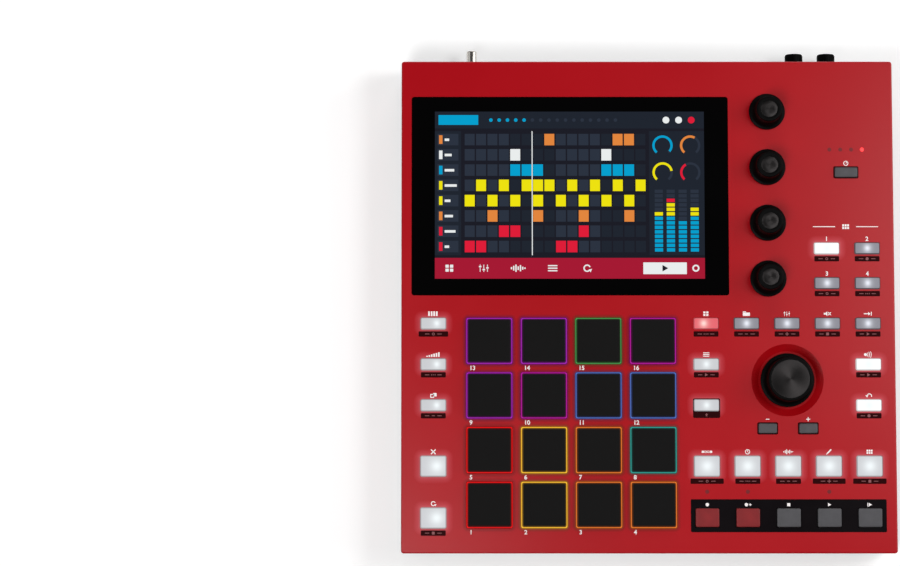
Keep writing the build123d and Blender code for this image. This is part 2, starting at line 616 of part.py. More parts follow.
def encoder(x, y, bush_top):
    """An encoder body with its bush, bored for the shaft."""
    body = plate(x, y, ENCODER_SIZE, ENCODER_SIZE, CONTROL_TOP, CONTROL_TOP + ENCODER_HEIGHT)
    body += post(x, y, BUSH_RADIUS, CONTROL_TOP + ENCODER_BASE, bush_top)
    return body - post(x, y, SHAFT_RADIUS + RUNNING, CONTROL_TOP + ENCODER_BASE, bush_top + OVERRUN)


def socket_block(x, width, height, depth, bottom=MAIN_TOP):
    """A socket's block, standing on the main board just inside the rear wall."""
    return bar(x, bottom + height / 2, width, height, REAR_INNER - SEAT - depth, REAR_INNER - SEAT)


def nose(section, radius_or_size, x, z):
    """The part of a socket that fills its opening in the rear wall, and that opening."""
    front, rear = REAR_INNER - OVERRUN, -REAR_INSET
    if section == "round":
        return (rod(x, z, radius_or_size, front, rear),
                rod(x, z, radius_or_size + SEAT, REAR_INNER - OVERRUN, OVERRUN))
    length, height = radius_or_size
    return (bar(x, z, length, height, front, rear),
            bar(x, z, length + SEAT * 2, height + SEAT * 2, REAR_INNER - OVERRUN, OVERRUN))


def round_socket(x, width, height, depth, nose_radius, bore_radius, bore_depth, pin_radius=0,
                 bottom=MAIN_TOP):
    """A socket with a round mouth, and an insert or pin on its axis if it has one."""
    z = bottom + height / 2
    filling, opening = nose("round", nose_radius, x, z)
    body = socket_block(x, width, height, depth, bottom) + filling
    body -= rod(x, z, bore_radius, -REAR_INSET - bore_depth, OVERRUN)
    if pin_radius:
        body += rod(x, z, pin_radius, -REAR_INSET - bore_depth - SEAT, -REAR_INSET - SEAT)
    return body, opening


def flat_socket(x, width, height, depth, mouth, mouth_depth, tongue=None):
    """A socket with a rectangular mouth, and a contact tongue in it if it has one."""
    z = MAIN_TOP + height / 2
    filling, opening = nose("flat", (mouth[0] + NOSE_FRAME * 2, mouth[1] + NOSE_FRAME * 2), x, z)
    body = socket_block(x, width, height, depth) + filling
    body -= bar(x, z, *mouth, -REAR_INSET - mouth_depth, OVERRUN)
    if tongue:
        body += bar(x, z, *tongue, -REAR_INSET - mouth_depth - SEAT, -REAR_INSET - NOSE_FRAME)
    return body, opening


def din_socket(x):
    """A five-pin socket: a round mouth round an insert with pin holes."""
    body, opening = round_socket(x, DIN_WIDTH, DIN_HEIGHT, DIN_DEPTH, DIN_NOSE_RADIUS, DIN_BORE_RADIUS,
                                 DIN_BORE_DEPTH, DIN_INSERT_RADIUS)
    z = MAIN_TOP + DIN_HEIGHT / 2
    for angle in DIN_PIN_ANGLES:
        spot = Vector(DIN_PIN_CIRCLE, 0, 0).rotate(Axis.Z, -angle)
        body -= rod(x + spot.X, z + spot.Y, DIN_PIN_RADIUS, -REAR_INSET - DIN_PIN_DEPTH, OVERRUN)
    return body, opening


def rear_sockets():
    """Every socket of the rear row with its opening in the wall."""
    fittings = [
        round_socket(REAR_X["dc_inlet"], DC_WIDTH, DC_HEIGHT, DC_DEPTH, DC_NOSE_RADIUS, DC_BORE_RADIUS,
                     DC_BORE_DEPTH, DC_PIN_RADIUS),
        flat_socket(REAR_X["usb_b"], USB_B_WIDTH, USB_B_HEIGHT, USB_B_DEPTH,
                    (USB_B_MOUTH_LENGTH, USB_B_MOUTH_HEIGHT), USB_MOUTH_DEPTH,
                    (USB_B_TONGUE_LENGTH, USB_B_TONGUE_HEIGHT)),
        flat_socket(REAR_X["usb_a"], USB_A_WIDTH, USB_A_HEIGHT, USB_A_DEPTH,
                    (USB_A_MOUTH_LENGTH, USB_A_MOUTH_HEIGHT), USB_MOUTH_DEPTH,
                    (USB_A_TONGUE_LENGTH, USB_A_TONGUE_HEIGHT)),
        flat_socket(REAR_X["card_slot"], CARD_WIDTH, CARD_HEIGHT, CARD_DEPTH,
                    (CARD_MOUTH_LENGTH, CARD_MOUTH_HEIGHT), CARD_MOUTH_DEPTH),
    ]
    for name in ("mini_1", "mini_2"):
        for row in range(MINI_ROWS):
            fittings.append(round_socket(REAR_X[name], MINI_WIDTH, MINI_HEIGHT, MINI_DEPTH, MINI_NOSE_RADIUS,
                                         MINI_BORE_RADIUS, MINI_BORE_DEPTH,
                                         bottom=MAIN_TOP + MINI_HEIGHT * row))
    for name in ("midi_in", "midi_out"):
        fittings.append(din_socket(REAR_X[name]))
    for name in REAR_JACKS:
        fittings.append(round_socket(REAR_X[name], JACK_WIDTH, JACK_HEIGHT, JACK_DEPTH, JACK_NOSE_RADIUS,
                                     JACK_BORE_RADIUS, JACK_BORE_DEPTH))
    return fittings


def power_switch():
    """The power switch body, bored for its button, and the opening in the wall."""
    x = REAR_X["power"]
    body = socket_block(x, SWITCH_WIDTH, SWITCH_HEIGHT, SWITCH_DEPTH)
    reach = POWER_STEM + POWER_TRAVEL + GAP
    body -= rod(x, POWER_Z, POWER_RADIUS + RUNNING, REAR_INNER - SEAT - reach, OVERRUN)
    return body, rod(x, POWER_Z, POWER_RADIUS + GAP, REAR_INNER - OVERRUN, OVERRUN)


def power_button():
    """The metal power button with a rounded end."""
    button = rod(REAR_X["power"], POWER_Z, POWER_RADIUS, REAR_INNER - SEAT - POWER_STEM, POWER_REACH)
    return fillet(button.edges().sort_by(Axis.Y)[-1], POWER_EDGE)


def volume_pot(x):
    """A volume potentiometer with its bush, bored for the shaft, and the opening in the wall."""
    body = socket_block(x, POT_WIDTH, POT_HEIGHT, POT_DEPTH)
    body += rod(x, VOLUME_Z, POT_BUSH_RADIUS, REAR_INNER - OVERRUN, -REAR_INSET)
    front = REAR_INNER - SEAT - POT_DEPTH + POT_BASE
    body -= rod(x, VOLUME_Z, POT_SHAFT_RADIUS + RUNNING, front, OVERRUN)
    return body, rod(x, VOLUME_Z, POT_BUSH_RADIUS + SEAT, REAR_INNER - OVERRUN, OVERRUN)


def volume_knob(x):
    """A rear volume knob, and the shaft that carries it."""
    front = GAP - REAR_INSET
    body = rod(x, VOLUME_Z, VOLUME_RADIUS, front, VOLUME_REACH)
    body = fillet(body.edges().sort_by(Axis.Y)[-1], VOLUME_EDGE)
    body += rod(x, VOLUME_Z, VOLUME_SKIRT_RADIUS, front, front + VOLUME_SKIRT)
    shaft_rear = front + VOLUME_SHAFT_GRIP
    body -= rod(x, VOLUME_Z, POT_SHAFT_RADIUS + RUNNING, front - OVERRUN, shaft_rear)
    shaft_front = REAR_INNER - SEAT - POT_DEPTH + POT_BASE + GAP
    return [body, rod(x, VOLUME_Z, POT_SHAFT_RADIUS, shaft_front, shaft_rear)]


def heat_sink():
    """The processor's heat sink: a base with upright fins."""
    bottom = MAIN_TOP + CHIP
    sink = plate(CHIP_X, -CHIP_Y, SINK_SIZE, SINK_SIZE, bottom, bottom + SINK_BASE)
    pitch = (SINK_SIZE - SINK_FIN) / (SINK_FINS - 1)
    for i in range(SINK_FINS):
        x = CHIP_X + pitch * (i - (SINK_FINS - 1) / 2)
        sink += plate(x, -CHIP_Y, SINK_FIN, SINK_SIZE, bottom, bottom + SINK_HEIGHT)
    return sink


def boards():
    """Both boards with what stands on them, apart from the rear fittings."""
    control_depth = CASE_DEPTH - CONTROL_BOARD_REAR - BOARD_MARGIN
    control = plate(CASE_WIDTH / 2, -CONTROL_BOARD_REAR - control_depth / 2, CASE_WIDTH - BOARD_MARGIN * 2,
                    control_depth, CONTROL_BOTTOM, CONTROL_TOP)
    main_depth = MAIN_BOARD_FRONT - MAIN_BOARD_REAR
    main = plate(CASE_WIDTH / 2, -MAIN_BOARD_REAR - main_depth / 2, CASE_WIDTH - BOARD_MARGIN * 2,
                 main_depth, MAIN_TOP - BOARD, MAIN_TOP)
    boss_radius = SCREW_HEAD_RADIUS + GAP + BOSS_WALL
    for x, y in POST_PLACES:
        hole = post(x, y, boss_radius + GAP, UNDERSIDE, PANEL_TOP)
        control -= hole
        main -= hole
    for x, y in BOARD_POST_PLACES:
        control -= post(x, y, BOARD_SCREW_RADIUS + SEAT, CONTROL_BOTTOM - OVERRUN, CONTROL_TOP + OVERRUN)
    for x, y in STANDOFF_PLACES:
        main -= post(x, y, BOARD_SCREW_RADIUS + SEAT, FLOOR_TOP, MAIN_TOP + OVERRUN)
    field = PAD_RIGHT - PAD_LEFT
    sensor = plate(PAD_LEFT + field / 2, PAD_FRONT + field / 2, field, field, CONTROL_TOP,
                   CONTROL_TOP + SENSOR)
    chip = plate(CHIP_X, -CHIP_Y, CHIP_SIZE, CHIP_SIZE, MAIN_TOP, MAIN_TOP + CHIP)
    lower = plate(RIBBON_X, -RIBBON_Y, CONNECTOR_LENGTH, CONNECTOR_WIDTH, MAIN_TOP,
                  MAIN_TOP + CONNECTOR_HEIGHT)
    upper = plate(RIBBON_X, -RIBBON_Y, CONNECTOR_LENGTH, CONNECTOR_WIDTH, CONTROL_BOTTOM - CONNECTOR_HEIGHT,
                  CONTROL_BOTTOM)
    ribbon = plate(RIBBON_X, -RIBBON_Y, RIBBON_LENGTH, RIBBON, MAIN_TOP + CONNECTOR_HEIGHT,
                   CONTROL_BOTTOM - CONNECTOR_HEIGHT)
    lights = [post(x, y, LIGHT_RADIUS, CONTROL_TOP, PANEL_TOP) for x, y in LIGHT_PLACES]
    encoders = [encoder(KNOB_X, y, PANEL_TOP) for y in KNOB_ROWS]
    encoders.append(encoder(WHEEL_X, WHEEL_Y, DISH_FLOOR))
    return [control, main, sensor, chip, heat_sink(), lower, upper, ribbon, *lights, *encoders]


def foot(x, y):
    """A rubber foot with a rounded lower edge."""
    body = post(x, y, FOOT_RADIUS, 0, FOOT_HEIGHT)
    return fillet(body.edges().sort_by(Axis.Z)[0], FOOT_EDGE)


def screw(x, y, seat, up, radius, head_radius, length):
    """A screw whose head bears on the seat, with its shank going up or down."""
    shank = post(0, 0, radius, 0, length) + post(0, 0, head_radius, -SCREW_HEAD, 0)
    drive = Pos(0, 0, -SCREW_HEAD) * extrude(RegularPolygon(SCREW_DRIVE_RADIUS, 6), SCREW_DRIVE)
    return Pos(x, y, seat) * Rot(0 if up else 180, 0, 0) * (shank - drive)


def hardware():
    """The feet and every screw."""
    pieces = [foot(x, y) for x, y in FOOT_PLACES]
    pieces += [screw(x, y, SCREW_SEAT, True, SCREW_RADIUS, SCREW_HEAD_RADIUS, SCREW_LENGTH)
               for x, y in POST_PLACES]
    pieces += [screw(x, y, CONTROL_BOTTOM, True, BOARD_SCREW_RADIUS, BOARD_SCREW_HEAD_RADIUS,
                     BOARD_SCREW_LENGTH) for x, y in BOARD_POST_PLACES]
    pieces += [screw(x, y, MAIN_TOP, False, BOARD_SCREW_RADIUS, BOARD_SCREW_HEAD_RADIUS,
                     STANDOFF_SCREW_LENGTH) for x, y in STANDOFF_PLACES]
    return pieces


def write(name, pieces):
    """Move a node's solids to the object's frame and write them as one file."""
    frame = Pos(-CASE_WIDTH / 2, (CASE_DEPTH - POWER_REACH) / 2, 0)
    solids = [frame * solid for piece in pieces for solid in piece.solids()]
    export_step(Compound(label=name, children=solids), f"parts/{name}.step")


def main():
    """Build every piece and write it."""
    os.makedirs("parts", exist_ok=True)
    sockets = rear_sockets()
    fixed_rear = [*sockets, power_switch(), volume_pot(REAR_X["record_volume"]),
                  volume_pot(REAR_X["main_volume"])]
    write("top_cover", [top_cover()])
    write("bottom_cover", [bottom_cover([opening for _, opening in fixed_rear])])
    write("touchscreen", touchscreen())
    write("circuit_boards", [*boards(), *[body for body, _ in fixed_rear]])
    write("feet_and_screws", hardware())
    for name, place in PADS.items():
        write(name, [pad(*place)])
    for name, place in KEYS.items():
        write(name, [key(*place)])
    for number, y in enumerate(KNOB_ROWS, 1):
        write(f"assign_knob_{number}", knob(KNOB_X, y, PANEL_TOP, PANEL_TOP + KNOB_HEIGHT, KNOB_SKIRT_RADIUS,
                                            KNOB_GRIP_RADIUS, KNOB_CAP_RADIUS, KNOB_FLARE))
    write("data_wheel", knob(WHEEL_X, WHEEL_Y, DISH_FLOOR, PANEL_TOP + WHEEL_HEIGHT, WHEEL_SKIRT_RADIUS,
                             WHEEL_GRIP_RADIUS, WHEEL_CAP_RADIUS, WHEEL_FLARE))
    write("power_button", [power_button()])
    for name in ("record_volume", "main_volume"):
        write(f"{name}_knob", volume_knob(REAR_X[name]))
    print(f"case {CASE_WIDTH:.2f} x {CASE_DEPTH:.2f}, panel top {PANEL_TOP:.2f}")


if __name__ == "__main__":
    main()
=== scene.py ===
"""Looks of the music production center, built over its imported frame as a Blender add-on."""

import functools
import math

import bmesh
import bpy
from mathutils import Matrix, Vector


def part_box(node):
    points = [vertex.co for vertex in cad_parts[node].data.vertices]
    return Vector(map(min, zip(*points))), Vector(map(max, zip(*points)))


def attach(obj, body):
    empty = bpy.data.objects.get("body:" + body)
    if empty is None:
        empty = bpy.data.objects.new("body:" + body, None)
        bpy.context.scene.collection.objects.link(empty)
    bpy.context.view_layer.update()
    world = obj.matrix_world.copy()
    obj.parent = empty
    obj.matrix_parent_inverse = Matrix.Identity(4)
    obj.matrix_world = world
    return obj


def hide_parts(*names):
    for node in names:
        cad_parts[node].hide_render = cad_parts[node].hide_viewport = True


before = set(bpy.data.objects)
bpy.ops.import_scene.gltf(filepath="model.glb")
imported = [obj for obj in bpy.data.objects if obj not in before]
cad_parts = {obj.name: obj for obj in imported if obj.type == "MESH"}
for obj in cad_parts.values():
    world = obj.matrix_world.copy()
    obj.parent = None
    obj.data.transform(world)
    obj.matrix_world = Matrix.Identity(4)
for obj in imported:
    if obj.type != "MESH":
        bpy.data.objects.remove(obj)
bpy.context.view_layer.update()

bl_info = {
    "name": "Music production center",
    "version": (1, 0, 0),
    "blender": (4, 5, 0),
    "location": "View3D > Sidebar > Music Center",
    "description": "Dresses the packed frame of a tabletop music production center",
    "category": "Object",
}

MM = 0.001
PANEL_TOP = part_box("top_cover")[1].z
GLASS_LOW, GLASS_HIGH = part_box("touchscreen")
REAR_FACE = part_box("bottom_cover")[1].y - 0.5 * MM
FLANGE_MARGIN = 1.5 * MM
FLANGE_TOP = PANEL_TOP - 2.8 * MM
FLANGE_LOW = FLANGE_TOP - 1.2 * MM
# Along the rear wall, places are in millimetres from the case's left side.
HALF_CASE = 136
JACKS = (179.4, 191.9, 204.4, 249.25, 261.75)
JACK_HEIGHT = 16.85 * MM
# Materials of the top cover besides its paint, and of the print.
DISH, STRIP = 1, 2
WHITE_INK, BLACK_INK, GREY_INK = range(3)
PAD_NODES = [f"pad_{i}" for i in range(1, 17)]
KNOB_NODES = [f"assign_knob_{i}" for i in range(1, 5)]
BANK_NODES = [f"pad_bank_{i}_button" for i in range(1, 5)]
LEFT_KEYS = ["level_button", "sixteen_levels_button", "copy_button"]
LARGE_LEFT_KEYS = ["erase_button", "repeat_button"]
UPPER_KEYS = ["main_button", "browse_button", "mix_button", "mute_button", "sequence_button"]
LARGE_KEYS = ["step_button", "timing_button", "sampler_button", "edit_button", "program_button"]
TRANSPORT_KEYS = ["record_button", "overdub_button", "stop_button", "play_button", "play_start_button"]
KEY_LAMPS = {
    "white": [*LEFT_KEYS, *LARGE_LEFT_KEYS, "menu_button", "shift_button", *LARGE_KEYS],
    "bright": ["tap_button", "undo_button", "pad_bank_1_button"],
    "red": ["main_button"],
    "dim": [*UPPER_KEYS[1:], *BANK_NODES[1:]],
    "ruby": ["record_button", "overdub_button"],
    "grey": ["stop_button", "play_button", "play_start_button", "minus_button", "plus_button",
             "knob_bank_button"],
}
PAD_LIGHTS = {
    "violet": (9, 13, 14), "magenta": (10, 16), "green": (15,), "blue": (11, 12), "red": (1, 5),
    "yellow": (2, 6), "orange": (3, 4, 7), "teal": (8,),
}
FLAT = 0.99999
SMOOTH = math.cos(math.radians(35))
MATERIALS = {}


def linear(red, green, blue):
    """A screen colour of 0 to 255 for each channel as the linear colour that a shader takes."""
    def channel(value):
        value /= 255
        return value / 12.92 if value <= 0.04045 else ((value + 0.055) / 1.055) ** 2.4
    return channel(red), channel(green), channel(blue)


def length(label, text, millimetres):
    """A length property, kept in metres."""
    return bpy.props.FloatProperty(name=label, description=text, default=millimetres * MM, precision=5,
                                   unit="LENGTH")


def tint(label, text, red, green, blue):
    """A colour property, given as seen on a screen."""
    return bpy.props.FloatVectorProperty(name=label, description=text, default=linear(red, green, blue),
                                         size=3, min=0, max=1, subtype="COLOR")


def amount(label, text, value):
    """A plain number property."""
    return bpy.props.FloatProperty(name=label, description=text, default=value)


class CaseSettings(bpy.types.PropertyGroup):
    """Finishes of the two covers and what is fixed to them."""
    paint: tint("Paint", "Satin paint of the top cover", 172, 3, 18)
    # The dish's red is partly its own deeper polished red and partly painted shade: it is kept darker than
    # the paint, as the recess round the wheel is.
    dish: tint("Dish", "Polished dish round the data wheel", 148, 1, 9)
    base: tint("Base", "Moulded bottom cover", 26, 26, 27)
    dish_radius: length("Dish radius", "Radius of the dish round the data wheel", 19.95)
    rubber: tint("Rubber", "Feet", 22, 22, 22)
    board: tint("Board", "Solder mask of the circuit boards", 16, 66, 38)
    lens_radius: length("Lens radius", "Radius of a light's lens on the panel", 1.12)
    nut_radius: length("Nut radius", "Middle radius of the jacks' ring nuts", 4.35)
    nut_width: length("Nut width", "Width of the ring nuts' section", 1.2)
    nut_depth: length("Nut depth", "Thickness of the ring nuts", 1.2)


class ScreenSettings(bpy.types.PropertyGroup):
    """Cover glass and the page on the display."""
    glass_bevel: length("Glass bevel", "Ground edge of the cover glass", 0.3)
    lit_left: length("Left border", "Black border left of the lit area", 12.8)
    lit_rear: length("Rear border", "Black border behind the lit area", 8.2)
    lit_length: length("Lit length", "Length of the lit area", 149.0)
    lit_width: length("Lit width", "Width of the lit area", 92.9)
    night: tint("Night", "Background of the page", 27, 28, 38)
    slate: tint("Slate", "Resting tiles", 44, 52, 66)
    red: tint("Red", "Bars and beats", 232, 28, 58)
    wine: tint("Wine", "Lower bar", 172, 24, 52)
    yellow: tint("Yellow", "Beats", 248, 236, 12)
    orange: tint("Orange", "Beats and dial", 236, 140, 64)
    cyan: tint("Cyan", "Beats and dial", 0, 166, 214)
    white: tint("White", "Symbols", 244, 248, 248)


class PadSettings(bpy.types.PropertyGroup):
    """The sixteen pads."""
    rim_side: length("Rim side", "Side of the lit rim", 25.3)
    face_side: length("Face side", "Side of the playing face", 23.5)
    rim_rise: length("Rim rise", "Lit rim above the panel", 0.6)
    corner: length("Corner", "Corner radius of rim and face", 1.0)
    halo: length("Halo", "Reach of a rim's light over the paint", 1.8)
    edge: length("Edge", "Rounding of the playing face's edge", 0.6)
    rubber: tint("Rubber", "Playing face", 17, 16, 16)
    violet: tint("Violet", "Lit rim", 162, 36, 174)
    magenta: tint("Magenta", "Lit rim", 178, 24, 152)
    green: tint("Green", "Lit rim", 72, 144, 74)
    blue: tint("Blue", "Lit rim", 80, 108, 186)
    red: tint("Red", "Lit rim", 232, 14, 18)
    yellow: tint("Yellow", "Lit rim", 246, 186, 52)
    orange: tint("Orange", "Lit rim", 224, 116, 42)
    teal: tint("Teal", "Lit rim", 48, 154, 144)
    glow: amount("Glow", "Strength of the light in the rims", 2.3)


class KeySettings(bpy.types.PropertyGroup):
    """The keys and their lamps."""
    corner: length("Corner", "Corner radius of the caps", 0.8)
    edge: length("Edge", "Rounding of the caps' upper edge", 0.4)
    crown: length("Crown", "Rise of the caps' middle", 0.12)
    silicone: tint("Silicone", "Translucent key", 79, 78, 81)
    ruby: tint("Ruby", "Translucent red key", 126, 31, 34)
    white_glow: tint("White glow", "Lit key away from its lamp", 190, 192, 195)
    bright_glow: tint("Bright glow", "Fully lit key", 246, 249, 249)
    red_glow: tint("Red glow", "Red lit key", 220, 62, 74)
    dim_glow: tint("Dim glow", "Key with its lamp turned down", 116, 116, 125)
    white_lamp: tint("White lamp", "Hot spot of a lit key", 236, 243, 245)
    dim_lamp: tint("Dim lamp", "Hot spot of a key with its lamp turned down", 228, 232, 242)
    red_lamp: tint("Red lamp", "Hot spot over the red lamp", 255, 212, 204)
    spill: amount("Spill", "Strength of the light from a lit key's sides", 0.6)
    halo: length("Halo", "Reach of a lit key's light over the paint", 3.8)
    halo_near: tint("Near halo", "Light of a lit key on the paint close beside it", 86, 82, 86)
    halo_far: tint("Far halo", "Light of a lit key on the paint further off", 82, 48, 54)
    lamp_shift: length("Lamp shift", "Lamps of the left column right of the keys' middle", 1.9)


class KnobSettings(bpy.types.PropertyGroup):
    """Assignable knobs, data wheel, volume knobs and power button."""
    skirt: length("Skirt", "Radius of an assignable knob's skirt", 10.0)
    grip: length("Grip", "Radius of an assignable knob's grip", 7.2)
    cap: length("Cap", "Radius of an assignable knob's cap", 4.6)
    flare: length("Flare", "Height over which an assignable knob widens to its skirt", 5.0)
    wheel_skirt: length("Wheel skirt", "Radius of the data wheel's skirt", 14.8)
    wheel_grip: length("Wheel grip", "Radius of the data wheel's grip", 12.2)
    wheel_cap: length("Wheel cap", "Radius of the data wheel's cap", 10.5)
    wheel_flare: length("Wheel flare", "Height over which the data wheel widens to its skirt", 3.0)
    volume: length("Volume", "Radius of a volume knob's grip", 4.75)
    volume_skirt: length("Volume skirt", "Radius of a volume knob's skirt", 6.2)
    rib_width: length("Rib width", "Width of a volume knob's rib", 0.5)
    plastic: tint("Plastic", "Knob bodies", 6, 6, 6)
    spun: tint("Spun", "Turned caps", 47, 45, 45)
    metal: tint("Metal", "Power button, ring nuts and socket shells", 206, 202, 196)


class PrintSettings(bpy.types.PropertyGroup):
    """Printed marks on the panel and the rear wall."""
    ink_rise: length("Ink rise", "Print above the surface that carries it", 0.02)
    digit: length("Digit", "Type size of the numbers", 3.3)
    stroke: length("Stroke", "Line width of the symbols", 0.36)
    tag: length("Tag", "Width of the black tags below the keys", 2.95)
    white: tint("White", "White ink", 252, 244, 243)
    black: tint("Black", "Black ink, thin enough to show some red", 42, 2, 4)
    grey: tint("Grey", "Second ink on the tags", 138, 84, 86)


class StageSettings(bpy.types.PropertyGroup):
    """Floor, lights and camera."""
    floor: tint("Floor", "Pale floor", 236, 236, 236)
    lift: amount("Lift", "Light that the floor adds for the camera near the case, full far off", 0.35)
    sky: amount("Sky", "Strength of the even light", 0.03)
    side_power: amount("Side power", "Watts of the large lamp at the right", 8.5)
    rear_power: amount("Rear power", "Watts of the large lamp behind the case", 5.5)
    fill_power: amount("Fill power", "Watts of the large lamp at the left", 2.5)
    right_power: amount("Right power", "Watts of the lamp over the right edge", 2.9)
    front_power: amount("Front power", "Watts of the lamp over the front left corner", 4.9)
    lens: amount("Lens", "Focal length in millimetres", 113.73)
    tilt: bpy.props.FloatProperty(name="Tilt", description="Camera's lean from straight down",
                                  default=0.0846, subtype="ANGLE")


SETTINGS = {
    "center_case": CaseSettings, "center_screen": ScreenSettings, "center_pads": PadSettings,
    "center_keys": KeySettings, "center_knobs": KnobSettings, "center_print": PrintSettings,
    "center_stage": StageSettings,
}


def middle_of(node):
    """Middle of a node's footprint and half of its size."""
    low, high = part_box(node)
    return (low + high) / 2, (high - low) / 2


def cap_of(node):
    """Middle of a key's cap, and half its length and width."""
    middle, half = middle_of(node)
    return middle, half.x - FLANGE_MARGIN, half.y - FLANGE_MARGIN


def piece(name, mesh, body, slot, *nodes):
    """Link a finished mesh as a piece of the object that rides on a body."""
    made = bpy.data.objects.new(name, mesh)
    bpy.context.scene.collection.objects.link(made)
    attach(made, body)
    if nodes:
        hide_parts(*nodes)
    return made


def mesh_of(name, bm, materials):
    """Turn a bmesh into a mesh with its materials."""
    mesh = bpy.data.meshes.new(name)
    bm.to_mesh(mesh)
    bm.free()
    for material in materials:
        mesh.materials.append(material)
    return mesh


def finish_mesh(name, bm, materials, sharp=32):
    """Turn a bmesh into a smooth shaded mesh with sharp edges kept sharp."""
    mesh = mesh_of(name, bm, materials)
    mesh.shade_smooth()
    mesh.set_sharp_from_angle(angle=math.radians(sharp))
    return mesh


def rounded_outline(half_x, half_y, radius, segments=5):
    """Points of a rounded rectangle round the origin, counter-clockwise."""
    radius = min(radius, half_x * 0.98, half_y * 0.98)
    points = []
    for turn, (side_x, side_y) in enumerate(((1, 1), (-1, 1), (-1, -1), (1, -1))):
        for i in range(segments + 1):
            angle = math.pi / 2 * (turn + i / segments)
            points.append((side_x * (half_x - radius) + radius * math.cos(angle),
                           side_y * (half_y - radius) + radius * math.sin(angle)))
    return points


def circle_outline(radius, segments=64):
    """Points of a circle round the origin, counter-clockwise."""
    return [(radius * math.cos(math.tau * i / segments), radius * math.sin(math.tau * i / segments))
            for i in range(segments)]


def quarter(steps):
    """Points of a quarter rounding: how far in and how far up, as shares of its radius."""
    angles = [math.pi / 2 * i / steps for i in range(1, steps + 1)]
    return [(1 - math.cos(angle), math.sin(angle)) for angle in angles]


def loft(bm, rings, turn=Matrix()):
    """Skin closed outlines, given as (points, height, material of the band above), from low to high."""
    layers = [[bm.verts.new(turn @ Vector((x, y, z))) for x, y in points] for points, z, _ in rings]
    first = bm.faces.new(list(reversed(layers[0])))
    first.material_index = rings[0][2]
    for (lower, upper), ring in zip(zip(layers, layers[1:]), rings):
        for i in range(len(lower)):
            j = (i + 1) % len(lower)
            bm.faces.new((lower[i], lower[j], upper[j], upper[i])).material_index = ring[2]
    bm.faces.new(layers[-1]).material_index = rings[-1][2]


def map_face(bm, middle, span=20 * MM):
    """Lay a flat UV map over a piece, with the piece's middle at its centre."""
    layer = bm.loops.layers.uv.new("face")
    for face in bm.faces:
        for corner in face.loops:
            corner[layer].uv = ((corner.vert.co.x - middle.x) / span + 0.5,
                                (corner.vert.co.y - middle.y) / span + 0.5)


def islands_of(bm):
    """Groups of faces that hang together."""
    left = set(bm.faces)
    while left:
        group = {left.pop()}
        edge_of_search = list(group)
        while edge_of_search:
            face = edge_of_search.pop()
            for edge in face.edges:
                for other in edge.link_faces:
                    if other in left:
                        left.discard(other)
                        group.add(other)
                        edge_of_search.append(other)
        yield group


def extent(faces):
    """Lowest and highest corner of the box round some faces."""
    points = [vert.co for face in faces for vert in face.verts]
    return [Vector(pick(point[i] for point in points) for i in range(3)) for pick in (min, max)]


def copy_of_node(node):
    """A merged copy of a CAD node's mesh, as a bmesh."""
    bm = bmesh.new()
    bm.from_mesh(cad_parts[node].data)
    bmesh.ops.remove_doubles(bm, verts=bm.verts, dist=1e-6)
    return bm


def evaluated_mesh(holder):
    """A new mesh of what an object's type or modifiers make."""
    return bpy.data.meshes.new_from_object(holder.evaluated_get(bpy.context.evaluated_depsgraph_get()))


def along_rear(millimetres):
    """A place along the rear wall from its distance to the case's left side."""
    return (millimetres - HALF_CASE) * MM


def add_node(tree, kind, fills=None, **settings):
    """Add a node, set its properties and fill its inputs with constants or with other nodes' outputs."""
    node = tree.nodes.new(kind)
    for label, value in settings.items():
        setattr(node, label, value)
    for label, value in (fills or {}).items():
        if isinstance(value, bpy.types.NodeSocket):
            tree.links.new(value, node.inputs[label])
        else:
            node.inputs[label].default_value = value
    return node


def shader_group(name, inputs, outputs):
    """A new shader node group with named number inputs and outputs."""
    tree = bpy.data.node_groups.new(name, "ShaderNodeTree")
    for label, value in inputs.items():
        tree.interface.new_socket(label, in_out="INPUT", socket_type="NodeSocketFloat").default_value = value
    for label in outputs:
        tree.interface.new_socket(label, in_out="OUTPUT", socket_type="NodeSocketFloat")
    return tree, tree.nodes.new("NodeGroupInput").outputs, tree.nodes.new("NodeGroupOutput").inputs


def map_range(tree, value, low, high, to_low, to_high, smooth=False):
    """A value moved from one range to another; the ends are numbers or sockets."""
    fills = {"Value": value, "From Min": low, "From Max": high, "To Min": to_low, "To Max": to_high}
    way = "SMOOTHSTEP" if smooth else "LINEAR"
    return add_node(tree, "ShaderNodeMapRange", fills, interpolation_type=way).outputs["Result"]


def reach_of(tree, vector):
    """Length of a vector socket."""
    return add_node(tree, "ShaderNodeVectorMath", {0: vector}, operation="LENGTH").outputs["Value"]


def from_middle(tree):
    """The way from the middle of a piece's UV map."""
    place = add_node(tree, "ShaderNodeUVMap", uv_map="face").outputs["UV"]
    fills = {0: place, 1: (0.5, 0.5, 0)}
    return add_node(tree, "ShaderNodeVectorMath", fills, operation="SUBTRACT").outputs["Vector"]


def build_grain_group():
    """Fine grain and broad clouds over a surface, from its Object coordinates."""
    tree, inputs, outputs = shader_group("fine_grain", {"Grain": 4000, "Clouds": 30}, ["Grain", "Clouds"])
    place = tree.nodes.new("ShaderNodeTexCoord").outputs["Object"]
    for label, detail in (("Grain", 2), ("Clouds", 4)):
        fills = {"Detail": detail, "Vector": place, "Scale": inputs[label]}
        noise = add_node(tree, "ShaderNodeTexNoise", fills)
        tree.links.new(map_range(tree, noise.outputs["Fac"], 0.25, 0.75, 0, 1, True), outputs[label])
    return tree


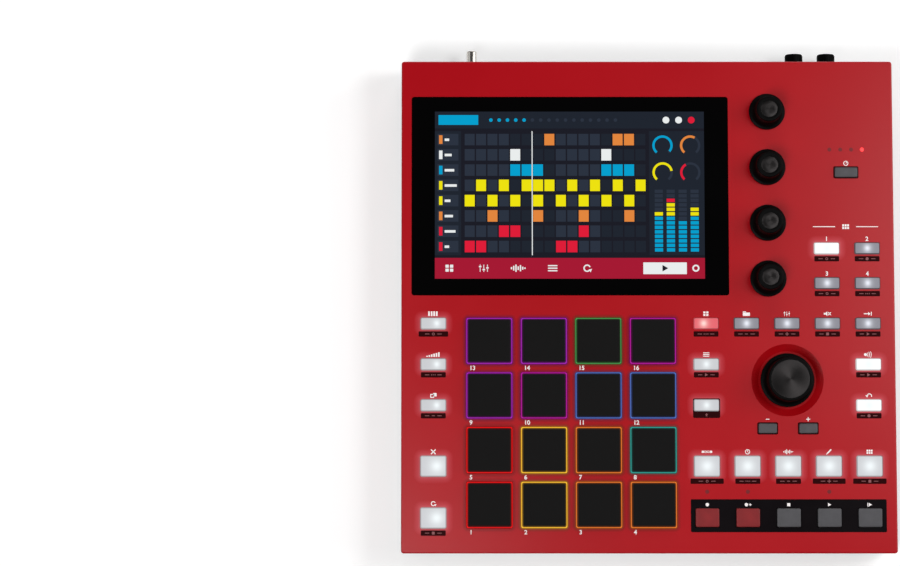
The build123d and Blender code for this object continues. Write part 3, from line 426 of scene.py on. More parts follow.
def build_lamp_group():
    """A soft hot spot on a key's face, from its UV map."""
    tree, inputs, outputs = shader_group("lamp_spot", {"Width": 0.2, "Depth": 0.15}, ["Spot"])
    size = add_node(tree, "ShaderNodeCombineXYZ", {"X": inputs["Width"], "Y": inputs["Depth"], "Z": 1})
    fills = {0: from_middle(tree), 1: size.outputs["Vector"]}
    scaled = add_node(tree, "ShaderNodeVectorMath", fills, operation="DIVIDE")
    reach = reach_of(tree, scaled.outputs["Vector"])
    square = add_node(tree, "ShaderNodeMath", {0: reach, 1: reach, 2: 1}, operation="MULTIPLY_ADD")
    fall = add_node(tree, "ShaderNodeMath", {0: square.outputs["Value"], 1: -2}, operation="POWER")
    tree.links.new(fall.outputs["Value"], outputs["Spot"])
    return tree


def build_turned_group():
    """Fine turning marks round the middle of a cap, from its UV map."""
    tree, inputs, outputs = shader_group("turned_marks", {"Marks": 900}, ["Height", "Tone"])
    fills = {"W": reach_of(tree, from_middle(tree)), "Scale": inputs["Marks"], "Detail": 3}
    noise = add_node(tree, "ShaderNodeTexNoise", fills, noise_dimensions="1D").outputs["Fac"]
    tree.links.new(noise, outputs["Height"])
    tree.links.new(map_range(tree, noise, 0.3, 0.7, 0, 1), outputs["Tone"])
    return tree


def build_fade_group():
    """Full near the panel and gone at a height above it, from Object coordinates."""
    tree, inputs, outputs = shader_group("height_fade", {"Low": 0.0, "High": 0.001}, ["Fade"])
    place = tree.nodes.new("ShaderNodeTexCoord").outputs["Object"]
    height = add_node(tree, "ShaderNodeSeparateXYZ", {"Vector": place}).outputs["Z"]
    tree.links.new(map_range(tree, height, inputs["Low"], inputs["High"], 1, 0, True), outputs["Fade"])
    return tree


GROUP_BUILDERS = {
    "fine_grain": build_grain_group, "lamp_spot": build_lamp_group, "turned_marks": build_turned_group,
    "height_fade": build_fade_group,
}


class Finish:
    """A material in the making: its Principled shader and the groups that feed it."""

    def __init__(self, name, **constants):
        self.material = bpy.data.materials.new(name)
        self.material.use_nodes = True
        self.tree = self.material.node_tree
        self.shader = self.tree.nodes["Principled BSDF"]
        self.set(**constants)

    def set(self, **constants):
        """Set the shader's sockets, named with underscores for spaces."""
        for label, value in constants.items():
            socket = self.shader.inputs[label.replace("_", " ")]
            socket.default_value = (*value, 1) if socket.type == "RGBA" else value

    def group(self, name, **values):
        """Place a shared group with its own values."""
        tree = bpy.data.node_groups.get(name) or GROUP_BUILDERS[name]()
        return add_node(self.tree, "ShaderNodeGroup", values, node_tree=tree).outputs

    def feed(self, socket, label):
        self.tree.links.new(socket, self.shader.inputs[label])

    def mix(self, factor, first, second, label):
        """Feed a shader colour with a mix of two colours."""
        fills = {0: factor, 6: (*first, 1), 7: (*second, 1)}
        self.feed(add_node(self.tree, "ShaderNodeMix", fills, data_type="RGBA").outputs[2], label)

    def darken(self, tone):
        """Multiply the shader's colour by a tone, which paints shade into it."""
        base = self.shader.inputs["Base Color"].links[0].from_socket
        node = add_node(self.tree, "ShaderNodeMix", {0: 1, 6: base, 7: tone}, data_type="RGBA",
                        blend_type="MULTIPLY")
        self.feed(node.outputs[2], "Base Color")

    def vary(self, factor, low, high, label):
        """Feed a shader number that runs between two values."""
        self.feed(map_range(self.tree, factor, 0, 1, low, high), label)

    def bump(self, height, strength, millimetres):
        fills = {"Strength": strength, "Distance": millimetres * MM, "Height": height}
        self.feed(add_node(self.tree, "ShaderNodeBump", fills).outputs["Normal"], "Normal")


def kept(make):
    """Make each material once, by its name."""
    @functools.wraps(make)
    def once(name, *values, **constants):
        if name not in MATERIALS:
            MATERIALS[name] = make(name, *values, **constants)
        return MATERIALS[name]
    return once


def shade(colour, factor):
    """A colour made lighter or darker."""
    return tuple(min(channel * factor, 1) for channel in colour)


def grained(name, colour, rough, grain=3500, bump=0.3, depth=0.02, clouds=45, spread=0.1, uneven=0.04,
            **constants):
    """A grained finish: colour clouds, uneven gloss and a fine bump."""
    made = Finish(name, **constants)
    marks = made.group("fine_grain", Grain=grain, Clouds=clouds)
    made.mix(marks["Clouds"], shade(colour, 1 - spread), shade(colour, 1 + spread), "Base Color")
    made.vary(marks["Clouds"], rough - uneven, rough + uneven, "Roughness")
    made.bump(marks["Grain"], bump, depth)
    return made


@kept
def moulded(name, *values, **constants):
    """A grained material."""
    return grained(name, *values, **constants).material


@kept
def turned(name, colour, rough):
    """A turned metal face with fine rings."""
    made = Finish(name, Metallic=1, Anisotropic=0.6)
    rings = made.group("turned_marks", Marks=260)
    made.mix(rings["Tone"], shade(colour, 0.88), shade(colour, 1.12), "Base Color")
    made.vary(rings["Tone"], rough - 0.05, rough + 0.05, "Roughness")
    made.bump(rings["Height"], 0.25, 0.02)
    direction = add_node(made.tree, "ShaderNodeTangent", direction_type="RADIAL", axis="Z")
    made.feed(direction.outputs["Tangent"], "Tangent")
    return made.material


def silicone(name, body, **constants):
    """Translucent silicone in the making, and its grain."""
    made = Finish(name, **constants)
    grain = made.group("fine_grain", Grain=2600, Clouds=300)
    made.mix(grain["Clouds"], shade(body, 0.94), shade(body, 1.06), "Base Color")
    made.vary(grain["Clouds"], 0.42, 0.52, "Roughness")
    return made, grain["Grain"]


@kept
def lit_face(name, body, glow, lamp, width, depth):
    """A key's face with light coming through it, brightest over its lamp."""
    made, grain = silicone(name, body, Emission_Strength=1, Specular_IOR_Level=0.2)
    made.bump(grain, 0.2, 0.01)
    made.mix(made.group("lamp_spot", Width=width, Depth=depth)["Spot"], glow, lamp, "Emission Color")
    return made.material


@kept
def lit_side(name, body, glow, strength, high=1.4, upper=0.25, gloss=0.5):
    """A silicone side that glows most where it leaves the panel."""
    made, _ = silicone(name, body, Emission_Strength=strength, Specular_IOR_Level=gloss)
    fade = made.group("height_fade", Low=PANEL_TOP, High=PANEL_TOP + high * MM)
    made.mix(fade["Fade"], shade(glow, upper), glow, "Emission Color")
    return made.material


@kept
def painted(name, near=None, far=None, shadow=1.0):
    """The top cover's paint; with two light colours it carries painted light, and with a shadow below 1
    painted shade, both strongest at the start of its UV map and fading outwards.
    """
    made = grained(name, bpy.context.scene.center_case.paint, 0.3, grain=5200, bump=0.12, depth=0.015,
                   clouds=14, spread=0.035, uneven=0.015, Specular_IOR_Level=0.28)
    if near:
        made.set(Emission_Strength=1)
        place = add_node(made.tree, "ShaderNodeUVMap", uv_map="face").outputs["UV"]
        out = add_node(made.tree, "ShaderNodeSeparateXYZ", {"Vector": place}).outputs["X"]
        ramp = add_node(made.tree, "ShaderNodeValToRGB", {"Fac": out})
        stops = ramp.color_ramp.elements
        stops[0].color = (*near, 1)
        stops[1].color = (0, 0, 0, 1)
        stops.new(0.3).color = (*far, 1)
        made.feed(ramp.outputs["Color"], "Emission Color")
        # Painted shade: the paint's colour is darkened next to a pad's rim, where the gap round the pad lies
        # in shade.
        made.darken(map_range(made.tree, out, 0, 1, shadow, 1 - 0.1 * (1 - shadow)))
    return made.material


def halo_piece(name, places, corner, reach, material):
    """Rings of paint with painted light on them round lit pieces, given as (middle, half length, half width);
    round the pads their paint also carries painted shade.
    """
    bm = bmesh.new()
    layer = bm.loops.layers.uv.new("face")
    steps = 6
    gap = 0.3 * MM
    z = PANEL_TOP + 0.008 * MM
    for middle, half_x, half_y in places:
        rings = []
        for i in range(steps + 1):
            out = gap + reach * i / steps
            outline = rounded_outline(half_x + out, half_y + out, corner + out)
            rings.append([bm.verts.new((middle.x + x, middle.y + y, z)) for x, y in outline])
        for i, (inner, outer) in enumerate(zip(rings, rings[1:])):
            for a in range(len(inner)):
                b = (a + 1) % len(inner)
                face = bm.faces.new((inner[a], outer[a], outer[b], inner[b]))
                for at, share in zip(face.loops, (i, i + 1, i + 1, i)):
                    at[layer].uv = (share / steps, 0.5)
    piece(name, finish_mesh(name, bm, [material]), "case", "case_red")


def metal_finish():
    """Bright nickel."""
    return moulded("bright_nickel", bpy.context.scene.center_knobs.metal, 0.22, grain=1800, bump=0.08,
                   clouds=160, spread=0.05, Metallic=1)


def soft_black():
    """Matt plastic of the knobs."""
    return moulded("knob_soft_black", bpy.context.scene.center_knobs.plastic, 0.45, grain=3000, bump=0.12,
                   spread=0.08, Specular_IOR_Level=0.045)


def ink(name, colour, gloss=0.2):
    """A printed colour with the slight unevenness of screen print."""
    return moulded(name, colour, 0.45, grain=9000, bump=0.1, depth=0.005, clouds=700, spread=0.05,
                   Specular_IOR_Level=gloss)


class FlatArt:
    """Flat shapes drawn in two directions, in metres, and then laid on a plane."""

    def __init__(self):
        self.shapes = []

    def add(self, points, kind=0):
        self.shapes.append((points, kind))

    def bar(self, x0, y0, x1, y1, kind=0):
        self.add([(x0, y0), (x1, y0), (x1, y1), (x0, y1)], kind)

    def pill(self, x, y, half_x, half_y, radius, kind=0):
        self.add([(x + u, y + v) for u, v in rounded_outline(half_x, half_y, radius, 4)], kind)

    def surround(self, outer, inner, kind=0):
        """A frame between two rounded outlines, each as (x, y, half length, half width, corner radius)."""
        outside, inside = [[(x + u, y + v) for u, v in rounded_outline(*sizes, 4)]
                           for x, y, *sizes in (outer, inner)]
        for a in range(len(outside)):
            b = (a + 1) % len(outside)
            self.add([outside[a], outside[b], inside[b], inside[a]], kind)

    def disc(self, x, y, radius, segments=24, kind=0):
        self.add([(x + u, y + v) for u, v in circle_outline(radius, segments)], kind)

    def arc(self, x, y, radius, width, start=0, end=360, segments=28, kind=0):
        """Part of a ring between two angles in degrees."""
        def at(reach, i):
            angle = math.radians(start + (end - start) * i / segments)
            return x + reach * math.cos(angle), y + reach * math.sin(angle)
        inner, outer = radius - width / 2, radius + width / 2
        for i in range(segments):
            self.add([at(inner, i), at(outer, i), at(outer, i + 1), at(inner, i + 1)], kind)

    def line(self, x0, y0, x1, y1, width, kind=0):
        along = Vector((x1 - x0, y1 - y0)).normalized() * width / 2
        side = Vector((-along.y, along.x))
        start, end = Vector((x0, y0)) - along, Vector((x1, y1)) + along
        self.add([start - side, end - side, end + side, start + side], kind)

    def frame(self, x0, y0, x1, y1, width, kind=0):
        """The outline of a rectangle, as four bars."""
        self.bar(x0, y0, x1, y0 + width, kind)
        self.bar(x0, y1 - width, x1, y1, kind)
        self.bar(x0, y0 + width, x0 + width, y1 - width, kind)
        self.bar(x1 - width, y0 + width, x1, y1 - width, kind)

    def number(self, text, x, y, size, align="CENTER", kind=0):
        """A plain number, set in Blender's own type."""
        curve = bpy.data.curves.new("number", "FONT")
        curve.body = text
        curve.size = size
        curve.offset = size * 0.025
        curve.align_x = align
        curve.align_y = "CENTER"
        holder = bpy.data.objects.new("number", curve)
        bpy.context.scene.collection.objects.link(holder)
        mesh = evaluated_mesh(holder)
        for face in mesh.polygons:
            self.add([(x + mesh.vertices[i].co.x, y + mesh.vertices[i].co.y) for i in face.vertices], kind)
        bpy.data.meshes.remove(mesh)
        bpy.data.objects.remove(holder)
        bpy.data.curves.remove(curve)

    def lay(self, name, place, materials):
        """Lay the shapes on a plane: place turns (across, up, kind) into a point."""
        bm = bmesh.new()
        for points, kind in self.shapes:
            face = bm.faces.new([bm.verts.new(place(u, v, kind)) for u, v in points])
            face.material_index = kind
        return mesh_of(name, bm, materials)


# Each symbol is a list of strokes: a tool of FlatArt and its sizes, with places and radii in millimetres at
# full scale and line widths as shares of the print's stroke. An area is a row of corners.
SYMBOLS = {
    "bars": [("bar", 1.1 * i - 2.2, -1, 1.1 * i - 1.5, 1) for i in range(4)],
    "steps": [("bar", i - 3, -1, i - 2.35, 0.3 * i - 0.55) for i in range(6)],
    "sheets": [("frame", -1.3, -1, 0.3, 0.6, 1), ("bar", -0.1, -0.4, 1.4, 1)],
    "cross": [("line", -0.8, -0.8, 0.8, 0.8, 1.3), ("line", -0.8, 0.8, -0.25, 0.25, 1.3),
              ("line", 0.25, -0.25, 0.8, -0.8, 1.3)],
    "loop": [("arc", 0, 0, 0.85, 1, 20, 320), ("area", 0.45, -0.35, 0.95, -1.15, 1.35, -0.2)],
    "grid": [("pill", 0.62 * i, 0.55 * j, 0.45, 0.42, 0.1) for i in (-1, 1) for j in (-1, 1)],
    "folder": [("bar", -1.5, -0.9, 1.5, 0.5), ("bar", -1.5, 0.62, -0.2, 1)],
    "sliders": [("bar", i - half, low, i + half, high)
                for i, level in ((-1, 0.45), (0, -0.4), (1, 0.1))
                for half, low, high in ((0.1, -1, level - 0.28), (0.1, level + 0.28, 1),
                                        (0.34, level - 0.2, level + 0.2))],
    "speaker": [("bar", -1.5, -0.4, -0.9, 0.4), ("area", -0.8, -0.4, 0, -1, 0, 1, -0.8, 0.4),
                ("line", 0.5, -0.5, 1.4, 0.5, 1), ("line", 0.5, 0.5, 0.78, 0.19, 1),
                ("line", 1.12, -0.19, 1.4, -0.5, 1)],
    "forward": [("bar", -1.7, -0.2, 0.2, 0.2), ("area", 0.2, -0.8, 1.1, 0, 0.2, 0.8),
                ("bar", 1.3, -0.8, 1.65, 0.8)],
    "list": [("bar", -1.3, 0.7 * i - 0.17, 1.3, 0.7 * i + 0.17) for i in (-1, 0, 1)],
    "up": [("area", -0.95, 0, 0.95, 0, 0, 0.95), ("bar", -0.42, -0.9, 0.42, -0.1)],
    "beat": [("disc", -1.2, 0, 0.62), ("arc", -1.2, 0, 1.05, 0.7, -50, 50, 10),
             ("arc", -1.2, 0, 1.75, 0.7, -40, 40, 10), ("arc", -1.2, 0, 2.45, 0.7, -32, 32, 10)],
    "back": [("arc", 0.2, -0.3, 0.95, 1, -20, 165), ("area", -1.45, 0.05, -0.75, -0.85, -0.15, 0.05)],
    "row": [("bar", -2.2, -0.45, -1.25, 0.45), ("frame", -1.05, -0.45, -0.1, 0.45, 0.6),
            ("frame", 0.1, -0.45, 1.05, 0.45, 0.6), ("bar", 1.25, -0.45, 2.2, 0.45)],
    "clock": [("arc", 0, 0, 0.92, 0.8), ("line", 0, 0.05, 0, 0.55, 0.7),
              ("line", 0.18, -0.05, 0.5, -0.2, 0.7)],
    "wave": [("bar", 0.62 * i - 2.05, -tall, 0.62 * i - 1.67, tall)
             for i, tall in enumerate((0.3, 0.65, 1.0, 0.5, 0.85, 0.4, 0.2))],
    "pencil": [("line", -0.5, -0.5, 0.8, 0.8, 1.5), ("area", -1.15, -1.15, -0.6, -1.0, -1.0, -0.6)],
    "pads": [("bar", 0.9 * i - 0.35, low, 0.9 * i + 0.35, high)
             for i in (-1, 0, 1) for low, high in ((0.1, 0.9), (-0.85, -0.1))],
    "knob": [("arc", 0, 0, 0.9, 0.9), ("line", 0.12, 0.12, 0.5, 0.5, 0.8)],
    "minus": [("bar", -0.95, -0.22, 0.95, 0.22)],
    "plus": [("bar", -1.1, -0.24, 1.1, 0.24), ("bar", -0.24, 0.24, 0.24, 1.1),
             ("bar", -0.24, -1.1, 0.24, -0.24)],
    "record": [("disc", 0, 0, 0.95)],
    "overdub": [("disc", -0.9, 0, 0.95), ("bar", 0.5, -0.2, 1.9, 0.2), ("bar", 1, 0.2, 1.4, 0.7),
                ("bar", 1, -0.7, 1.4, -0.2)],
    "stop": [("bar", -0.85, -0.85, 0.85, 0.85)],
    "play": [("area", -0.8, -1, 1, 0, -0.8, 1)],
    "play_start": [("bar", -1.5, -1, -1.05, 1), ("area", -0.75, -1, 1.05, 0, -0.75, 1)],
    "ring": [("arc", 0, 0, 0.65, 1, 0, 360, 18)],
    "dots": [("disc", 1.1 * i, 0, 0.34, 12) for i in (-1, 0, 1)],
    "power": [("arc", 0, 0, 1.1, 1, 130, 410), ("bar", -0.18, 0.3, 0.18, 1.5)],
    "direct": [("bar", -1.4, 0.3, 1.4, 0.66),
               *(("bar", 0.95 * i - 0.33, -0.5, 0.95 * i + 0.33, -0.14) for i in (-1, 0, 1))],
    "phones": [("arc", 0, -0.2, 1.2, 1, 0, 180), ("bar", -1.5, -1.2, -0.8, -0.25),
               ("bar", 0.8, -1.2, 1.5, -0.25)],
    "card": [("area", -1, -1.2, 1, -1.2, 1, 1.2, -0.3, 1.2, -1, 0.6)],
}


def symbol(art, name, x, y, kind=0, scale=1.0):
    """Draw one plain symbol, about two millimetres high, round a point."""
    unit = MM * scale
    stroke = bpy.context.scene.center_print.stroke * scale
    for tool, *sizes in SYMBOLS[name]:
        places = [(x + across * unit, y + up * unit) for across, up in zip(sizes[::2], sizes[1::2])]
        if tool == "area":
            art.add(places, kind)
        elif tool == "bar":
            art.bar(*places[0], *places[1], kind)
        elif tool in ("frame", "line"):
            getattr(art, tool)(*places[0], *places[1], sizes[4] * stroke, kind)
        elif tool == "pill":
            art.pill(*places[0], *(size * unit for size in sizes[2:]), kind)
        elif tool == "disc":
            art.disc(*places[0], sizes[2] * unit, *sizes[3:], kind=kind)
        else:
            art.arc(*places[0], sizes[2] * unit, sizes[3] * stroke, *sizes[4:], kind=kind)


def on_panel(u, v, kind):
    """A point of the panel's print; the black ink lies below the others."""
    rise = bpy.context.scene.center_print.ink_rise
    return Vector((u, v, PANEL_TOP + rise * (1 if kind == BLACK_INK else 2)))


def on_rear(u, v, kind):
    """A point of the rear wall's print, drawn as it is read from behind."""
    return Vector((-u, REAR_FACE + bpy.context.scene.center_print.ink_rise, v))


def strip_edges():
    """Left, right, front and rear edge of the black strip round the transport keys."""
    first, half_x, half_y = cap_of(TRANSPORT_KEYS[0])
    last, _, _ = cap_of(TRANSPORT_KEYS[-1])
    side, front, rear = 2.6 * MM, 2.85 * MM, 5.05 * MM
    return (first.x - half_x - side, last.x + half_x + side, first.y - half_y - front,
            first.y + half_y + rear)


def strip_film():
    """Black film of the strip."""
    return moulded("black_strip_film", linear(10, 5, 8), 0.34, grain=6000, bump=0.08, depth=0.01,
                   Specular_IOR_Level=0.06)


class CENTER_OT_case(bpy.types.Operator):
    """Give both covers their finish"""
    bl_idname = "music_center.case"
    bl_label = "Covers"

    def execute(self, context):
        look = context.scene.center_case
        # The dish's colour is partly painted shade of the recess round the wheel.
        dish = moulded("red_polished_dish", look.dish, 0.34, bump=0.05, clouds=60, spread=0.02,
                       Specular_IOR_Level=0.1)
        base = moulded("black_moulded_base", look.base, 0.56, grain=2400, bump=0.5, depth=0.05)
        wheel, _ = middle_of("data_wheel")
        left, right, front, rear = strip_edges()
        sunk, dish_low, strip_low = (PANEL_TOP - depth * MM for depth in (0.01, 2, 2.6))
        bm = copy_of_node("top_cover")
        for face in bm.faces:
            spot = face.calc_center_median()
            away = math.hypot(spot.x - wheel.x, spot.y - wheel.y)
            if away < look.dish_radius and dish_low < spot.z < sunk:
                face.material_index = DISH
            elif left < spot.x < right and front < spot.y < rear and strip_low < spot.z < sunk:
                face.material_index = STRIP
        self.shell("top_cover", bm, [painted("red_satin_paint"), dish, strip_film()], "case_red")
        self.shell("bottom_cover", copy_of_node("bottom_cover"), [base], "case_black")
        return {"FINISHED"}

    def shell(self, node, bm, materials, slot):
        """A cover with flat faces kept flat and its roundings smooth."""
        mesh = finish_mesh(node, bm, materials, 180)
        around = [[] for _ in mesh.vertices]
        for face in mesh.polygons:
            for i in face.vertices:
                around[i].append(face)
        normals = [self.corner_normal(face, around[i]) for face in mesh.polygons for i in face.vertices]
        mesh.normals_split_custom_set(normals)
        piece(f"{node}_shell", mesh, "case", slot, node)

    def corner_normal(self, face, neighbours):
        """A flat face keeps its normal; a rounding, but not the dish, takes that of a flat face beside it."""
        own = face.normal.copy()
        if max(map(abs, own)) > FLAT:
            return own
        near = [other for other in neighbours if other.normal.dot(own) > SMOOTH]
        flat = [other for other in near if max(map(abs, other.normal)) > FLAT]
        if flat and face.material_index != DISH:
            return flat[0].normal.copy()
        return sum((other.normal * other.area for other in near if other not in flat), Vector()).normalized()


class CENTER_OT_screen(bpy.types.Operator):
    """Build the cover glass, the display module and the lit page"""
    bl_idname = "music_center.screen"
    bl_label = "Touch screen"

    def execute(self, context):
        look = context.scene.center_screen
        middle, half = (GLASS_LOW + GLASS_HIGH) / 2, (GLASS_HIGH - GLASS_LOW) / 2
        corner, bevel, thickness, gap = 1.5 * MM, look.glass_bevel, 1.6 * MM, 0.02 * MM
        module_x, module_y, module_corner = half.x - 6.5 * MM, half.y - 3.15 * MM, 0.6 * MM
        glass_bottom = GLASS_HIGH.z - thickness
        bm = bmesh.new()
        at = Matrix.Translation((middle.x, middle.y, 0))
        inner = rounded_outline(half.x - bevel, half.y - bevel, corner - bevel)
        outer = rounded_outline(half.x, half.y, corner)
        loft(bm, [(outer, glass_bottom, 0), (outer, GLASS_HIGH.z - bevel, 0), (inner, GLASS_HIGH.z, 0)], at)
        module = rounded_outline(module_x, module_y, module_corner, 2)
        loft(bm, [(module, GLASS_LOW.z, 1), (module, glass_bottom - gap, 1)], at)
        glass = Finish("black_cover_glass", Base_Color=(0.0003, 0.0002, 0.0003), IOR=1.5)
        self.smear(glass)
        backing = moulded("display_backing", (0.25, 0.25, 0.26), 0.4, Metallic=1)
        piece("touchscreen_glass", finish_mesh("touchscreen_glass", bm, [glass.material, backing]), "case",
              "screen", "touchscreen")
        self.page(look)
        return {"FINISHED"}

    def smear(self, made):
        """Faint smears in the gloss of the glass."""
        smears = made.group("fine_grain", Grain=900, Clouds=22)
        made.vary(smears["Clouds"], 0.04, 0.09, "Roughness")

    def page(self, look):
        """Draw a step page: beats in a grid, dials and meters beside it, a bar of symbols below."""
        colours = [look.night, look.slate, look.red, look.wine, look.yellow, look.orange, look.cyan,
                   look.white, shade(look.slate, 0.55)]
        night, slate, red, wine, yellow, orange, cyan, white, dusk = range(len(colours))
        art = FlatArt()
        x0 = GLASS_LOW.x + look.lit_left
        y0 = GLASS_HIGH.y - look.lit_rear - look.lit_width
        art.bar(x0, y0, x0 + look.lit_length, y0 + look.lit_width, night)
        layers = [len(art.shapes)]

        def at(across, up):
            return x0 + across * MM, y0 + up * MM

        def box(left, low, right, high, kind):
            art.bar(*at(left, low), *at(right, high), kind)

        box(0, 0, 149, 11.5, wine)
        box(0, 83.5, 149, 92.9, dusk)
        box(118.5, 13, 149, 82, dusk)
        box(0, 13, 14.5, 82, dusk)
        layers.append(len(art.shapes))
        row_kinds = (red, red, orange, yellow, yellow, cyan, white, orange)
        row_lows = [14 + row * 8.5 for row in range(8)]
        steps_left, step, playing = 16.5, 6.3, 6
        beats = (lambda i: i % 8 in (0, 1), lambda i: i % 16 in (3, 4, 10), lambda i: i % 4 == 2,
                 lambda i: i % 2 == 0, lambda i: i % 2 == 1 or i == 6, lambda i: i % 8 in (4, 5, 6),
                 lambda i: i % 8 == 4, lambda i: i in (7, 13, 14))
        for low, beat, row_kind in zip(row_lows, beats, row_kinds):
            box(1.5, low + 0.6, 13, low + 7, slate)
            for i in range(16):
                left = steps_left + i * step
                rest = dusk if i // 4 % 2 else slate
                box(left, low + 0.6, left + 5.5, low + 7, row_kind if beat(i) else rest)
        box(2, 85.5, 24, 91, cyan)
        box(115, 2.5, 139, 9, white)
        layers.append(len(art.shapes))
        for row, low in enumerate(row_lows):
            box(2.3, low + 1.4, 4.2, low + 6.2, row_kinds[row])
            box(5.4, low + 3, 5.4 + 2.5 + (row * 5 % 7) * 0.7, low + 4.4, white)
        cursor = steps_left + playing * step
        box(cursor - 0.75, 13, cursor - 0.25, 82, white)
        for i in range(16):
            art.disc(*at(31 + i * 4.6, 88.2), 1.0 * MM, 14, cyan if i < 5 else slate)
        for i, kind in enumerate((white, white, red)):
            art.disc(*at(128 + i * 7, 88.2), 1.9 * MM, kind=kind)
        for i, (kind, end) in enumerate(((cyan, -40), (orange, 60), (yellow, 10), (red, 120))):
            dial = *at(126 + 15.3 * (i % 2), 74 - 15 * (i // 2)), 5 * MM, 1.3 * MM
            art.arc(*dial, -50, end, kind=slate)
            art.arc(*dial, end, 230, kind=kind)
        for i, tall in enumerate((9, 12, 7, 10)):
            for j in range(14):
                kind = slate if j >= tall else red if j > 10 else yellow if j > 7 else cyan
                box(121.5 + i * 6.6, 15 + j * 2.5, 126 + i * 6.6, 16.9 + j * 2.5, kind)
        for i, name in enumerate(("grid", "sliders", "wave", "list", "loop")):
            symbol(art, name, *at(8 + i * 19, 5.8), white, 2.0)
        symbol(art, "play", *at(127, 5.8), night, 1.8)
        symbol(art, "ring", *at(144, 5.8), white, 2.4)
        layers.append(len(art.shapes))
        layer_rise = 0.006 * MM
        heights = []
        for order, (start, end) in enumerate(zip([0, *layers], layers), 1):
            heights += [GLASS_HIGH.z + layer_rise * order] * (end - start)
        bm = bmesh.new()
        light = bm.loops.layers.float_color.new("light")
        for (points, kind), z in zip(art.shapes, heights):
            face = bm.faces.new([bm.verts.new((u, v, z)) for u, v in points])
            for corner in face.loops:
                corner[light] = (*colours[kind], 1)
        made = Finish("display_light", Base_Color=(0.001, 0.001, 0.0012), IOR=1.5, Emission_Strength=0.9)
        seen = add_node(made.tree, "ShaderNodeAttribute", attribute_name="light")
        made.feed(seen.outputs["Color"], "Emission Color")
        self.smear(made)
        piece("display_page", mesh_of("display_page", bm, [made.material]), "case", "screen")


class CENTER_OT_pads(bpy.types.Operator):
    """Build the sixteen pads with their lit rims"""
    bl_idname = "music_center.pads"
    bl_label = "Pads"

    def execute(self, context):
        look = context.scene.center_pads
        face = moulded("pad_face_rubber", look.rubber, 0.66, grain=2800, bump=0.35, depth=0.03, clouds=60,
                       spread=0.12, Specular_IOR_Level=0.08)
        half = look.rim_side / 2
        for colour, pads in PAD_LIGHTS.items():
            light = getattr(look, colour)
            deep = shade(light, 0.12)
            rim = lit_side(f"pad_rim_{colour}", deep, light, look.glow, 0.9, gloss=0.08)
            wall = lit_side(f"pad_wall_{colour}", look.rubber, deep, look.glow, 1.1, gloss=0.08)
            for number in pads:
                self.pad(f"pad_{number}", look, [face, rim, wall])
            places = [(middle_of(f"pad_{number}")[0], half, half) for number in pads]
            # Painted light of the rim on the paint beside it, and painted shade next to the rim.
            paint = painted(f"red_paint_by_{colour}_pad", shade(light, 0.16), shade(light, 0.03), 0.45)
            halo_piece(f"{colour}_pad_halos", places, look.corner, look.halo, paint)
        return {"FINISHED"}

    def pad(self, node, look, materials):
        """Loft one pad: stem, flange, lit rim, wall and rounded playing face."""
        rubber, lit, wall = range(len(materials))
        middle, half = middle_of(node)
        low, top = middle.z - half.z, middle.z + half.z
        flange, rim, face = half.x, look.rim_side / 2, look.face_side / 2
        rise = PANEL_TOP + look.rim_rise
        lip = face + 0.42 * MM
        edge, least = look.edge, 0.2 * MM
        # half side, half side that the corner radius belongs to, height, material of the band above
        rings = [(face, face, low, rubber), (face, face, FLANGE_LOW, rubber),
                 (flange, flange, FLANGE_LOW, wall), (flange, flange, FLANGE_TOP, wall),
                 (rim, rim, FLANGE_TOP, wall), (rim, rim, rise - 0.3 * MM, wall),
                 (rim - 0.08 * MM, rim, rise - 0.1 * MM, lit), (rim - 0.25 * MM, rim, rise, lit),
                 (lip, lip, rise, wall), (face, face, rise, wall), (face, face, top - edge, wall)]
        for i, (inwards, up) in enumerate(quarter(4)):
            rings.append((face - edge * inwards, face, top - edge + edge * up, wall if i < 2 else rubber))
        rings += [(face * share, face, top, rubber) for share in (0.75, 0.4)]
        bm = bmesh.new()
        outlines = [(rounded_outline(size, size, max(look.corner - (base - size), least)), z, kind)
                    for size, base, z, kind in rings]
        loft(bm, outlines, Matrix.Translation((middle.x, middle.y, 0)))
        map_face(bm, middle)
        piece(f"{node}_silicone", finish_mesh(node, bm, materials), node, "pad_rubber", node)


